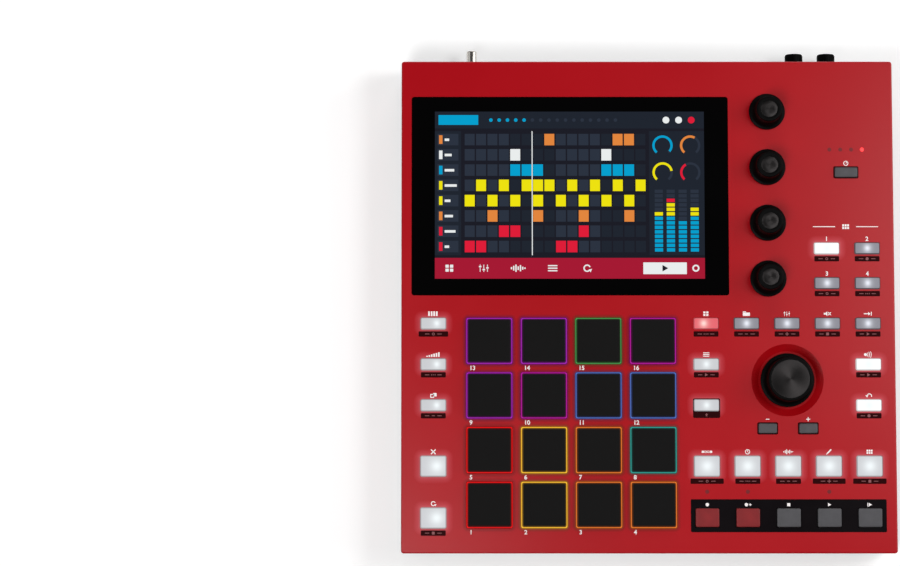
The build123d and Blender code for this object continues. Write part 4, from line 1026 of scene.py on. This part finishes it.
class CENTER_OT_keys(bpy.types.Operator):
    """Build the keys with the light of their lamps"""
    bl_idname = "music_center.keys"
    bl_label = "Keys"

    def execute(self, context):
        look = context.scene.center_keys
        dark = (0, 0, 0)
        lamps = {
            "white": (look.silicone, look.white_glow, look.white_lamp, look.spill),
            "bright": (look.silicone, look.bright_glow, look.white_lamp, look.spill),
            "red": (look.silicone, look.red_glow, look.red_lamp, look.spill),
            "dim": (look.silicone, look.dim_glow, look.dim_lamp, look.spill * 0.6),
            "ruby": (look.ruby, dark, shade(look.ruby, 0.2), 0),
            "grey": (look.silicone, dark, shade(look.silicone, 0.1), 0),
        }
        for kind, nodes in KEY_LAMPS.items():
            body, glow, lamp, spill = lamps[kind]
            side = lit_side(f"key_side_{kind}", body, glow, spill, 1.4, 0.25 if kind in ("dim", "red") else 1)
            for node in nodes:
                _, _, half_y = cap_of(node)
                shape, spot = ("large", (0.24, 0.24)) if half_y > 4 * MM else ("small", (0.12, 0.13))
                self.key(node, look, [lit_face(f"key_face_{kind}_{shape}", body, glow, lamp, *spot), side])
        lit = [cap_of(node) for node in (*KEY_LAMPS["white"], *KEY_LAMPS["bright"])]
        paint = painted("red_paint_by_lit_key", look.halo_near, look.halo_far)
        halo_piece("lit_key_halos", lit, look.corner, look.halo, paint)
        return {"FINISHED"}

    def key(self, node, look, materials):
        """Loft one key: stem, flange, cap with a rounded edge and a slight crown."""
        face, side = range(len(materials))
        middle, half = middle_of(node)
        _, half_x, half_y = cap_of(node)
        low, top = middle.z - half.z, middle.z + half.z
        stem_x, stem_y = half_x - 1.5 * MM, half_y - 1.5 * MM
        edge, crown, least = look.edge, look.crown, 0.15 * MM
        shoulder = top - crown - edge
        # half length, half width, height, material of the band above
        rings = [(stem_x, stem_y, low, side), (stem_x, stem_y, FLANGE_LOW, side),
                 (half.x, half.y, FLANGE_LOW, side), (half.x, half.y, FLANGE_TOP, side),
                 (half_x, half_y, FLANGE_TOP, side), (half_x, half_y, shoulder, side)]
        for i, (inwards, up) in enumerate(quarter(4)):
            inset = edge * inwards
            rings.append((half_x - inset, half_y - inset, shoulder + edge * up, side if i < 2 else face))
        for share in (0.75, 0.5, 0.25):
            rings.append((half_x * share, half_y * share, top - crown * share ** 2, face))
        bm = bmesh.new()
        outlines = [(rounded_outline(x, y, max(look.corner - (half_x - x), least), 4), z, kind)
                    for x, y, z, kind in rings]
        loft(bm, outlines, Matrix.Translation((middle.x, middle.y, 0)))
        shift = 0
        if node in (*LEFT_KEYS, *LARGE_LEFT_KEYS):
            shift = look.lamp_shift
        elif node == "main_button":
            shift = -look.lamp_shift * 0.7
        map_face(bm, middle + Vector((shift, 0, 0)))
        piece(f"{node}_cap", finish_mesh(node, bm, materials), node, "key_silicone", node)


def turned_knob(bm, middle, profile, turn=Matrix()):
    """Loft a knob from (radius, height, material) round its axis."""
    rings = [(circle_outline(radius), z, kind) for radius, z, kind in profile]
    loft(bm, rings, Matrix.Translation(middle) @ turn)


def eased_end(radius, end, ease, steps):
    """Rings of a knob's rounded end, of its first material."""
    return [(radius - ease * inwards, end - ease + ease * up, 0) for inwards, up in quarter(steps)]


class CENTER_OT_knobs(bpy.types.Operator):
    """Build the assignable knobs and the data wheel"""
    bl_idname = "music_center.knobs"
    bl_label = "Knobs"

    def execute(self, context):
        look = context.scene.center_knobs
        materials = [soft_black(), turned("knob_turned_cap", look.spun, 0.42), metal_finish()]
        for node in KNOB_NODES:
            self.knob(node, look.skirt, look.grip, look.cap, look.flare, 0.6 * MM, materials)
        self.knob("data_wheel", look.wheel_skirt, look.wheel_grip, look.wheel_cap, look.wheel_flare,
                  -0.8 * MM, materials)
        return {"FINISHED"}

    def knob(self, node, skirt, grip, cap, flare, rise, materials):
        """Turn one knob with a flared skirt and a sunk cap, on its shaft."""
        body, face, metal = range(len(materials))
        middle, half = middle_of(node)
        top = middle.z + half.z
        low = PANEL_TOP + rise
        flank = low + 1.0 * MM
        bore, shaft, ease, step, neck = 2.9 * MM, 3 * MM, 0.25 * MM, 0.12 * MM, grip - 0.1 * MM
        disc = top - 0.3 * MM
        profile = [(bore, low, body), (skirt - ease, low, body), (skirt, low + ease, body),
                   (skirt, flank - 0.3 * MM, body), (skirt - step, flank - 0.08 * MM, body)]
        bends = 12
        for i in range(1, bends + 1):
            share = i / bends
            radius = (1 - share) ** 2 * skirt + (2 * (1 - share) * share + share ** 2) * grip
            profile.append((radius - (step if i == 1 else 0), flank + share ** 2 * flare, body))
        profile.append((neck, top - 0.9 * MM, body))
        profile += eased_end(neck, top, 0.7 * MM, 5)
        profile += [(cap + ease, top, body), (cap + 0.08 * MM, top - 0.06 * MM, body), (cap, disc, face),
                    (cap * 0.97, disc + 0.05 * MM, face), (cap * 0.5, disc, face),
                    (cap * 0.06, disc - 0.05 * MM, face)]
        bm = bmesh.new()
        place = Vector((middle.x, middle.y, 0))
        turned_knob(bm, place, profile)
        turned_knob(bm, place, [(shaft, middle.z - half.z, metal), (shaft, low + 2 * MM, metal)])
        map_face(bm, middle)
        piece(f"{node}_turned", finish_mesh(node, bm, materials, 40), node, "knob_black", node)


def growing_tree(name, numbers):
    """A geometry node tree that takes points, numbers and a finish, and the sockets that they come from."""
    tree = bpy.data.node_groups.new(name, "GeometryNodeTree")
    tree.interface.new_socket("Geometry", in_out="INPUT", socket_type="NodeSocketGeometry")
    for label, value in numbers.items():
        kind = "NodeSocketInt" if isinstance(value, int) else "NodeSocketFloat"
        tree.interface.new_socket(label, in_out="INPUT", socket_type=kind).default_value = value
    tree.interface.new_socket("Finish", in_out="INPUT", socket_type="NodeSocketMaterial")
    tree.interface.new_socket("Geometry", in_out="OUTPUT", socket_type="NodeSocketGeometry")
    return tree, tree.nodes.new("NodeGroupInput").outputs


def seat(tree, enter, shape):
    """Seat a shape on every point, turned to face along Y, and give it the finish."""
    tilt = add_node(tree, "GeometryNodeTransform", {"Geometry": shape, "Rotation": (math.radians(90), 0, 0)})
    seats = add_node(tree, "GeometryNodeInstanceOnPoints",
                     {"Points": enter["Geometry"], "Instance": tilt.outputs["Geometry"]})
    real = add_node(tree, "GeometryNodeRealizeInstances", {"Geometry": seats.outputs["Instances"]})
    paint = add_node(tree, "GeometryNodeSetMaterial",
                     {"Geometry": real.outputs["Geometry"], "Material": enter["Finish"]})
    add_node(tree, "NodeGroupOutput", {"Geometry": paint.outputs["Geometry"]})
    return tree


def rib_tree():
    """Geometry nodes: thin ribs round a rod that lies along Y."""
    tree, enter = growing_tree("grip_ribs", {"Radius": 0.005, "Length": 0.004, "Width": 0.0005,
                                             "Rise": 0.0002, "Ribs": 24})
    circle = add_node(tree, "GeometryNodeCurvePrimitiveCircle",
                      {"Resolution": enter["Ribs"], "Radius": enter["Radius"]})
    points = add_node(tree, "GeometryNodeCurveToPoints", {"Curve": circle.outputs["Curve"]}, mode="EVALUATED")
    doubled = add_node(tree, "ShaderNodeMath", {0: enter["Rise"], 1: 2}, operation="MULTIPLY")
    size = add_node(tree, "ShaderNodeCombineXYZ",
                    {"X": doubled.outputs["Value"], "Y": enter["Width"], "Z": enter["Length"]})
    rib = add_node(tree, "GeometryNodeMeshCube", {"Size": size.outputs["Vector"]})
    position = tree.nodes.new("GeometryNodeInputPosition").outputs["Position"]
    align = add_node(tree, "FunctionNodeAlignRotationToVector", {"Vector": position}, axis="X")
    spread = add_node(tree, "GeometryNodeInstanceOnPoints",
                      {"Points": points.outputs["Points"], "Instance": rib.outputs["Mesh"],
                       "Rotation": align.outputs["Rotation"]})
    return seat(tree, enter, spread.outputs["Instances"])


def nut_tree():
    """Geometry nodes: a flat ring nut on every point, facing along Y."""
    tree, enter = growing_tree("ring_nuts", {"Radius": 0.005, "Width": 0.0015, "Depth": 0.001})
    circle = add_node(tree, "GeometryNodeCurvePrimitiveCircle", {"Resolution": 40, "Radius": enter["Radius"]})
    section = add_node(tree, "GeometryNodeCurvePrimitiveQuadrilateral",
                       {"Width": enter["Width"], "Height": enter["Depth"]})
    eased = add_node(tree, "GeometryNodeFilletCurve",
                     {"Curve": section.outputs["Curve"], "Radius": 0.25 * MM, "Count": 2}, mode="POLY")
    ring = add_node(tree, "GeometryNodeCurveToMesh",
                    {"Curve": circle.outputs["Curve"], "Profile Curve": eased.outputs["Curve"]})
    return seat(tree, enter, ring.outputs["Mesh"])


def grown_mesh(name, tree, points, **values):
    """Run a geometry node tree on loose points and return the result as a plain mesh."""
    seeds = bpy.data.meshes.new(f"{name}_points")
    seeds.from_pydata(points, [], [])
    holder = bpy.data.objects.new(f"{name}_points", seeds)
    bpy.context.scene.collection.objects.link(holder)
    modifier = holder.modifiers.new("grow", "NODES")
    modifier.node_group = tree
    for item in tree.interface.items_tree:
        if item.in_out == "INPUT" and item.name in values:
            modifier[item.identifier] = values[item.name]
    mesh = evaluated_mesh(holder)
    mesh.name = name
    holder.modifiers.clear()
    bpy.data.objects.remove(holder)
    bpy.data.meshes.remove(seeds)
    if not mesh.polygons:
        raise RuntimeError(f"{name} came out empty")
    bm = bmesh.new()
    bm.from_mesh(mesh)
    bmesh.ops.recalc_face_normals(bm, faces=bm.faces)
    bm.to_mesh(mesh)
    bm.free()
    mesh.shade_smooth()
    mesh.set_sharp_from_angle(angle=math.radians(35))
    return mesh


class CENTER_OT_rear_controls(bpy.types.Operator):
    """Build the power button and the two volume knobs"""
    bl_idname = "music_center.rear_controls"
    bl_label = "Rear controls"

    def execute(self, context):
        look = context.scene.center_knobs
        body = soft_black()
        white = ink("white_ink", context.scene.center_print.white)
        along = Matrix.Rotation(math.radians(-90), 4, "X")
        ribs = rib_tree()
        grip, skirt = look.volume, look.volume_skirt
        front = REAR_FACE + 0.3 * MM
        step, bore, shaft = front + 2 * MM, 2.6 * MM, 2.5 * MM
        for node in ("record_volume_knob", "main_volume_knob"):
            middle, half = middle_of(node)
            end = middle.y + half.y
            profile = [(bore, front, 0), (skirt, front, 0), (skirt, front + 1.7 * MM, 0),
                       (skirt - 0.3 * MM, step, 0), (grip, step, 0), (grip, end - 0.6 * MM, 0),
                       *eased_end(grip, end, 0.5 * MM, 4),
                       (grip * 0.8, end - 0.05 * MM, 0), (grip * 0.2, end - 0.15 * MM, 0)]
            bm = bmesh.new()
            place = Vector((middle.x, 0, middle.z))
            turned_knob(bm, place, profile, along)
            turned_knob(bm, place, [(shaft, middle.y - half.y, 0), (shaft, front + MM, 0)], along)
            piece(f"{node}_grip", finish_mesh(node, bm, [body]), node, "knob_black", node)
            ribs_front = front + 2.2 * MM
            span = end - 0.8 * MM - ribs_front
            middle_of_ribs = (middle.x, ribs_front + span / 2, middle.z)
            mesh = grown_mesh(f"{node}_ribs", ribs, [middle_of_ribs], Radius=grip, Length=span,
                              Width=look.rib_width, Rise=0.22 * MM, Ribs=28, Finish=body)
            piece(f"{node}_ribs", mesh, node, "knob_black")
            pointer = FlatArt()
            pointer.pill(0, grip * 0.55, 0.3 * MM, grip * 0.35, 0.2 * MM)
            face = end - 0.05 * MM
            mesh = pointer.lay(f"{node}_pointer",
                               lambda u, v, kind: Vector((middle.x - u, face, middle.z + v)), [white])
            piece(f"{node}_pointer", mesh, node, "knob_black")
        self.power(along)
        return {"FINISHED"}

    def power(self, along):
        """Turn the metal power button with a rounded edge and a dished end."""
        middle, half = middle_of("power_button")
        radius, ease = half.x, 0.6 * MM
        front, end = middle.y - half.y, middle.y + half.y
        profile = [(radius, front, 0), (radius, end - ease, 0), *eased_end(radius, end, ease, 5),
                   (radius * 0.7, end - 0.05 * MM, 0), (radius * 0.35, end - 0.16 * MM, 0),
                   (radius * 0.05, end - 0.2 * MM, 0)]
        bm = bmesh.new()
        turned_knob(bm, Vector((middle.x, 0, middle.z)), profile, along)
        piece("power_button_turned", finish_mesh("power_button", bm, [metal_finish()]), "power_button",
              "button_metal", "power_button")


class CENTER_OT_boards(bpy.types.Operator):
    """Dress the boards, lights and rear sockets by what each of their solids is"""
    bl_idname = "music_center.boards"
    bl_label = "Boards and sockets"

    def execute(self, context):
        look = context.scene.center_case
        finishes = {
            "board": moulded("solder_mask", look.board, 0.35, clouds=120, spread=0.15),
            "plastic": moulded("socket_plastic", (0.012, 0.012, 0.013), 0.42, spread=0.1),
            "nickel": metal_finish(),
            "ivory": moulded("connector_ivory", (0.62, 0.58, 0.48), 0.5),
            "ribbon": moulded("ribbon_grey", (0.4, 0.4, 0.42), 0.5),
            "chip": moulded("chip_epoxy", (0.015, 0.015, 0.016), 0.5),
            "lens": moulded("lens_unlit", linear(118, 34, 38), 0.34, spread=0.06, Specular_IOR_Level=0.2),
            "lit_lens": self.lit_lens(),
            "alloy": moulded("sink_alloy", (0.55, 0.55, 0.57), 0.4, Metallic=1),
            "brass": moulded("contact_brass", (0.8, 0.58, 0.25), 0.3, Metallic=1),
        }
        index = {name: i for i, name in enumerate(finishes)}
        bm = copy_of_node("circuit_boards")
        lights = []
        for group in islands_of(bm):
            low, high = extent(group)
            middle, size = (low + high) / 2, (high - low) / MM
            kind = self.kind_of(size, high.y)
            for face in group:
                face.material_index = index[kind]
            if kind == "lens":
                lights.append(middle)
            at_wall = high.y > REAR_FACE - MM
            if at_wall and kind == "nickel":
                self.tongue(group, middle, index["plastic"])
            if at_wall and size.x < 10.5 and size.z < 11.5 and size.y > 14:
                self.pin(group, middle, index["brass"])
        lit = max((light for light in lights if light.y > 0), key=lambda light: light.x)
        for light in lights:
            place = Matrix.Translation((light.x, light.y, PANEL_TOP + 0.02 * MM))
            made = bmesh.ops.create_circle(bm, cap_ends=True, segments=28, radius=look.lens_radius,
                                           matrix=place)
            for face in made["verts"][0].link_faces:
                face.material_index = index["lit_lens" if light is lit else "lens"]
        mesh = finish_mesh("circuit_boards", bm, finishes.values(), 30)
        piece("boards_and_sockets", mesh, "case", "boards", "circuit_boards")
        nuts = [(along_rear(x), REAR_FACE + look.nut_depth / 2, JACK_HEIGHT) for x in JACKS]
        mesh = grown_mesh("jack_ring_nuts", nut_tree(), nuts, Radius=look.nut_radius, Width=look.nut_width,
                          Depth=look.nut_depth, Finish=metal_finish())
        piece("jack_ring_nuts", mesh, "case", "button_metal")
        return {"FINISHED"}

    def kind_of(self, size, rear):
        """What one solid is made of, told by its size in millimetres and by where it ends at the rear."""
        if size.x > 200:
            return "board"
        if size.x > 100:
            return "chip"
        if size.x < 2.5 and size.y < 2.5:
            return "lens"
        if size.x > 35 and size.y > 35:
            return "alloy"
        if size.x > 33 and size.y < 6:
            return "ivory"
        if size.y < 1:
            return "ribbon"
        if size.z < 2:
            return "chip"
        encoder = size.z < 10 and 11 < size.y < 13 and rear < REAR_FACE - 8 * MM
        wide_socket = size.x > 13.5 and size.y < 30 and size.z < 12 and rear > REAR_FACE - MM
        square_socket = 11.9 < size.x < 12.1 and size.z < 11.5 and size.y > 15
        return "nickel" if encoder or wide_socket or square_socket else "plastic"

    def lit_lens(self):
        """The lens of the one light that is on."""
        made = Finish("lens_lit", Emission_Strength=1.6, Base_Color=linear(120, 12, 12), Roughness=0.3)
        grain = made.group("fine_grain", Grain=4000, Clouds=1200)
        made.mix(grain["Clouds"], linear(236, 18, 26), linear(255, 60, 62), "Emission Color")
        return made.material

    def tongue(self, group, middle, kind):
        """Black contact tongue inside a metal socket."""
        half_x, half_z, front, rear = 5.6 * MM, 1.65 * MM, REAR_FACE - 9.2 * MM, REAR_FACE - 0.3 * MM
        for face in group:
            spot = face.calc_center_median()
            if abs(spot.z - middle.z) < half_z and abs(spot.x - middle.x) < half_x and front < spot.y < rear:
                face.material_index = kind

    def pin(self, group, middle, kind):
        """Centre pin of the supply inlet."""
        height, radius = 16.1 * MM, 1.02 * MM
        for face in group:
            spot = face.calc_center_median()
            if math.hypot(spot.x - middle.x, spot.z - height) < radius:
                face.material_index = kind


class CENTER_OT_feet(bpy.types.Operator):
    """Dress the rubber feet and the screws"""
    bl_idname = "music_center.feet"
    bl_label = "Feet and screws"

    def execute(self, context):
        look = context.scene.center_case
        rubber = moulded("foot_rubber", look.rubber, 0.75, grain=1800, bump=0.6, depth=0.05)
        steel = moulded("blackened_steel", (0.09, 0.09, 0.095), 0.38, bump=0.1, Metallic=1)
        least_foot = 12 * MM
        bm = copy_of_node("feet_and_screws")
        for group in islands_of(bm):
            low, high = extent(group)
            for face in group:
                face.material_index = 0 if high.x - low.x > least_foot else 1
        mesh = finish_mesh("feet_and_screws", bm, [rubber, steel], 30)
        piece("rubber_feet_and_screws", mesh, "case", "hardware", "feet_and_screws")
        return {"FINISHED"}


class CENTER_OT_panel_print(bpy.types.Operator):
    """Print the tags, symbols and numbers on the panel and lay the strip round the transport keys"""
    bl_idname = "music_center.panel_print"
    bl_label = "Panel print"

    def execute(self, context):
        look = context.scene.center_print
        inks = [ink("white_ink", look.white), ink("black_ink", look.black, 0.04), ink("grey_ink", look.grey)]
        art = FlatArt()
        self.strip()
        self.tags(art, look)
        self.symbols(art)
        self.numbers(art, look)
        piece("panel_print", art.lay("panel_print", on_panel, inks), "case", "case_red")
        return {"FINISHED"}

    def strip(self):
        """Black film in the sunk field round the transport keys, open at each key."""
        first, half_x, half_y = cap_of(TRANSPORT_KEYS[0])
        left, right, low, high = strip_edges()
        gap, margin, top, bottom = 0.26 * MM, 0.1 * MM, PANEL_TOP - 0.04 * MM, PANEL_TOP - 0.38 * MM
        edges = [left + margin]
        for node in TRANSPORT_KEYS:
            middle, _, _ = cap_of(node)
            edges += [middle.x - half_x - gap, middle.x + half_x + gap]
        edges.append(right - margin)
        rows = [low + margin, first.y - half_y - gap, first.y + half_y + gap, high - margin]
        bm = bmesh.new()
        grid = [[bm.verts.new((x, y, top)) for x in edges] for y in rows]
        for row, (lower, upper) in enumerate(zip(grid, grid[1:])):
            for i in range(len(edges) - 1):
                key_opening = row == 1 and i % 2
                if not key_opening:
                    bm.faces.new((lower[i], lower[i + 1], upper[i + 1], upper[i]))
        walls = bmesh.ops.extrude_face_region(bm, geom=list(bm.faces))
        for item in walls["geom"]:
            if isinstance(item, bmesh.types.BMVert):
                item.co.z = bottom
        bmesh.ops.recalc_face_normals(bm, faces=bm.faces)
        piece("transport_strip", finish_mesh("transport_strip", bm, [strip_film()]), "case", "case_black")

    def tags(self, art, look):
        """Black tags with grey marks below the keys, and black frames round four keys."""
        half = look.tag / 2
        below, corner, mark_scale = 1.25 * MM, 0.5 * MM, 0.9
        dash_away, dash_x, dash_y = 3.4 * MM, 1.2 * MM, 0.18 * MM
        wide = {"level_button": 8.15, "step_button": 9.1, "edit_button": 9.0, "program_button": 9.15}
        framed = ("shift_button", "minus_button", "plus_button", "knob_bank_button")
        bare = {"erase_button", *framed, *TRANSPORT_KEYS}
        marks = ("ring", "dots", "minus", "plus", "stop", "play", "record")
        for i, node in enumerate(node for nodes in KEY_LAMPS.values() for node in nodes):
            if node in bare:
                continue
            middle, _, half_y = cap_of(node)
            y = middle.y - half_y - below - half
            art.pill(middle.x, y, wide.get(node, 6.85) * MM, half, corner, BLACK_INK)
            symbol(art, marks[i % len(marks)], middle.x, y, GREY_INK, mark_scale)
            for x in (middle.x - dash_away, middle.x + dash_away):
                art.bar(x - dash_x, y - dash_y, x + dash_x, y + dash_y, GREY_INK)
        border, gap, corner = 0.7 * MM, 0.25 * MM, 0.8 * MM
        for node in framed:
            middle, half_x, half_y = cap_of(node)
            more = 3.25 * MM / 2 if node == "shift_button" else 0
            art.surround((middle.x, middle.y - more, half_x + border, half_y + more + border, corner),
                         (middle.x, middle.y, half_x + gap, half_y + gap, corner), BLACK_INK)
        middle, _, half_y = cap_of("shift_button")
        symbol(art, "up", middle.x, middle.y - half_y - 2.2 * MM, GREY_INK, mark_scale)

    def symbols(self, art):
        """White symbols above the keys, and the lines beside the pad bank sign."""
        above = {
            "level_button": "bars", "sixteen_levels_button": "steps", "copy_button": "sheets",
            "erase_button": "cross", "repeat_button": "loop", "main_button": "grid",
            "browse_button": "folder", "mix_button": "sliders", "mute_button": "speaker",
            "sequence_button": "forward",
            "menu_button": "list", "tap_button": "beat", "undo_button": "back", "step_button": "row",
            "timing_button": "clock", "sampler_button": "wave", "edit_button": "pencil",
            "program_button": "pads", "knob_bank_button": "knob", "minus_button": "minus",
            "plus_button": "plus",
        }
        for node, name in above.items():
            middle, half_x, half_y = cap_of(node)
            scale = 1 if half_x < 6 * MM else 1.3
            symbol(art, name, middle.x, middle.y + half_y + 2.35 * MM, WHITE_INK, scale)
        for node, name in zip(TRANSPORT_KEYS, ("record", "overdub", "stop", "play", "play_start")):
            middle, _, half_y = cap_of(node)
            symbol(art, name, middle.x, middle.y + half_y + 2.1 * MM)
        left, right = cap_of(BANK_NODES[0])[0], cap_of(BANK_NODES[1])[0]
        y, half = left.y + 12.0 * MM, 0.22 * MM
        art.bar(left.x - 7.5 * MM, y - half, left.x + 4.8 * MM, y + half)
        art.bar(right.x - 5.9 * MM, y - half, right.x + 6.3 * MM, y + half)
        symbol(art, "pads", (left.x + right.x) / 2 - 0.5 * MM, y, WHITE_INK, 1.5)

    def numbers(self, art, look):
        """Plain numbers by the pads and the pad bank keys."""
        rim = bpy.context.scene.center_pads.rim_side / 2
        for i, node in enumerate(PAD_NODES, 1):
            middle, _ = middle_of(node)
            art.number(str(i), middle.x - rim + 1.7 * MM, middle.y - rim - 2.35 * MM, look.digit, "LEFT")
        for i, node in enumerate(BANK_NODES, 1):
            middle, _, half_y = cap_of(node)
            art.number(str(i), middle.x, middle.y + half_y + 2.1 * MM, look.digit)


class CENTER_OT_rear_print(bpy.types.Operator):
    """Print plain symbols and numbers beside the rear sockets"""
    bl_idname = "music_center.rear_print"
    bl_label = "Rear print"

    def execute(self, context):
        look = context.scene.center_print
        art = FlatArt()
        signs = (("direct", 24, 25), ("power", 39, 25.5), ("card", 96.4, 20), ("phones", JACKS[0], 27),
                 ("forward", 198.15, 30.4), ("back", 255.5, 30.4), ("steps", 220, 28), ("steps", 238, 28))
        for name, x, height in signs:
            symbol(art, name, -along_rear(x), height * MM)
        pairs = ((JACKS[1:3], 26.8), (JACKS[3:], 26.8), ((143.4, 162.9), 31), ((118.9, 128.4), 30))
        for places, height in pairs:
            for i, x in enumerate(places, 1):
                art.number(str(i), -along_rear(x), height * MM, look.digit)
        mesh = art.lay("rear_print", on_rear, [ink("white_ink", look.white)])
        piece("rear_print", mesh, "case", "case_black")
        return {"FINISHED"}


class CENTER_OT_stage(bpy.types.Operator):
    """Set the floor, the lights and the camera"""
    bl_idname = "music_center.stage"
    bl_label = "Stage"

    def execute(self, context):
        look = context.scene.center_stage
        context.scene.view_settings.view_transform = "Standard"
        self.floor(look)
        world = bpy.data.worlds.new("even_light")
        world.use_nodes = True
        background = world.node_tree.nodes["Background"].inputs
        background["Color"].default_value = (1, 1, 1, 1)
        background["Strength"].default_value = look.sky
        context.scene.world = world
        self.lamp("right_lamp", (1.2, 0.2, 0.7), 1.0, look.side_power)
        self.lamp("rear_lamp", (0, 1.3, 0.7), 1.0, look.rear_power)
        self.lamp("left_lamp", (-1.2, 0.2, 0.7), 1.0, look.fill_power)
        self.lamp("right_edge_lamp", (0.49, 0.12, 1.0), 0.3, look.right_power)
        self.lamp("front_left_lamp", (-0.31, -0.32, 1.0), 0.35, look.front_power)
        camera = bpy.data.cameras.new("camera")
        camera.sensor_width = 36
        camera.sensor_fit = "HORIZONTAL"
        camera.lens = look.lens
        camera.clip_end = 50
        holder = bpy.data.objects.new("camera", camera)
        holder.location = (-0.10914, -0.12442, 1.6)
        holder.rotation_euler = (look.tilt, 0, 0)
        context.scene.collection.objects.link(holder)
        context.scene.camera = holder
        return {"FINISHED"}

    def floor(self, look):
        """A wide pale floor that looks white and keeps the shadow."""
        bm = bmesh.new()
        reach, drop = 12, 0.05 * MM
        bmesh.ops.create_grid(bm, x_segments=4, y_segments=4, size=reach,
                              matrix=Matrix.Translation((0, 0, -drop)))
        made = Finish("pale_floor", Emission_Color=(1, 1, 1), Roughness=0.9)
        grain = made.group("fine_grain", Grain=120, Clouds=2)
        made.mix(grain["Clouds"], shade(look.floor, 0.99), look.floor, "Base Color")
        rays = made.tree.nodes.new("ShaderNodeLightPath").outputs
        total = rays["Is Camera Ray"]
        for label in ("Is Glossy Ray", "Is Transmission Ray"):
            total = add_node(made.tree, "ShaderNodeMath", {0: total, 1: rays[label]},
                             operation="MAXIMUM").outputs["Value"]
        place = made.tree.nodes.new("ShaderNodeTexCoord").outputs["Object"]
        lift = map_range(made.tree, reach_of(made.tree, place), 0.3, 1.5, look.lift, 1, True)
        scale = add_node(made.tree, "ShaderNodeMath", {0: total, 1: lift}, operation="MULTIPLY")
        made.feed(scale.outputs["Value"], "Emission Strength")
        floor = bpy.data.objects.new("floor", mesh_of("floor", bm, [made.material]))
        bpy.context.scene.collection.objects.link(floor)

    def lamp(self, name, place, size, watts):
        """A square soft box that looks at the middle of the panel."""
        light = bpy.data.lights.new(name, "AREA")
        light.shape = "SQUARE"
        light.size = size
        light.energy = watts
        holder = bpy.data.objects.new(name, light)
        holder.location = place
        aim = Vector((0, 0, PANEL_TOP)) - Vector(place)
        holder.rotation_euler = aim.to_track_quat("-Z", "Y").to_euler()
        bpy.context.scene.collection.objects.link(holder)


OPERATORS = (CENTER_OT_case, CENTER_OT_screen, CENTER_OT_pads, CENTER_OT_keys, CENTER_OT_knobs,
             CENTER_OT_rear_controls, CENTER_OT_boards, CENTER_OT_feet, CENTER_OT_panel_print,
             CENTER_OT_rear_print, CENTER_OT_stage)


class CENTER_PT_build(bpy.types.Panel):
    """Lists the steps that dress the music production center"""
    bl_idname = "CENTER_PT_build"
    bl_label = "Music production center"
    bl_space_type = "VIEW_3D"
    bl_region_type = "UI"
    bl_category = "Music Center"

    def draw(self, context):
        for operator in OPERATORS:
            self.layout.operator(operator.bl_idname)


def register():
    for group in SETTINGS.values():
        bpy.utils.register_class(group)
    for name, group in SETTINGS.items():
        setattr(bpy.types.Scene, name, bpy.props.PointerProperty(type=group))
    for operator in OPERATORS:
        bpy.utils.register_class(operator)
    bpy.utils.register_class(CENTER_PT_build)


def unregister():
    bpy.utils.unregister_class(CENTER_PT_build)
    for operator in reversed(OPERATORS):
        bpy.utils.unregister_class(operator)
    for name, group in SETTINGS.items():
        delattr(bpy.types.Scene, name)
        bpy.utils.unregister_class(group)


def main():
    """Register the add-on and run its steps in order."""
    register()
    for operator in OPERATORS:
        category, name = operator.bl_idname.split(".")
        getattr(getattr(bpy.ops, category), name)()


if __name__ == "__main__":
    main()
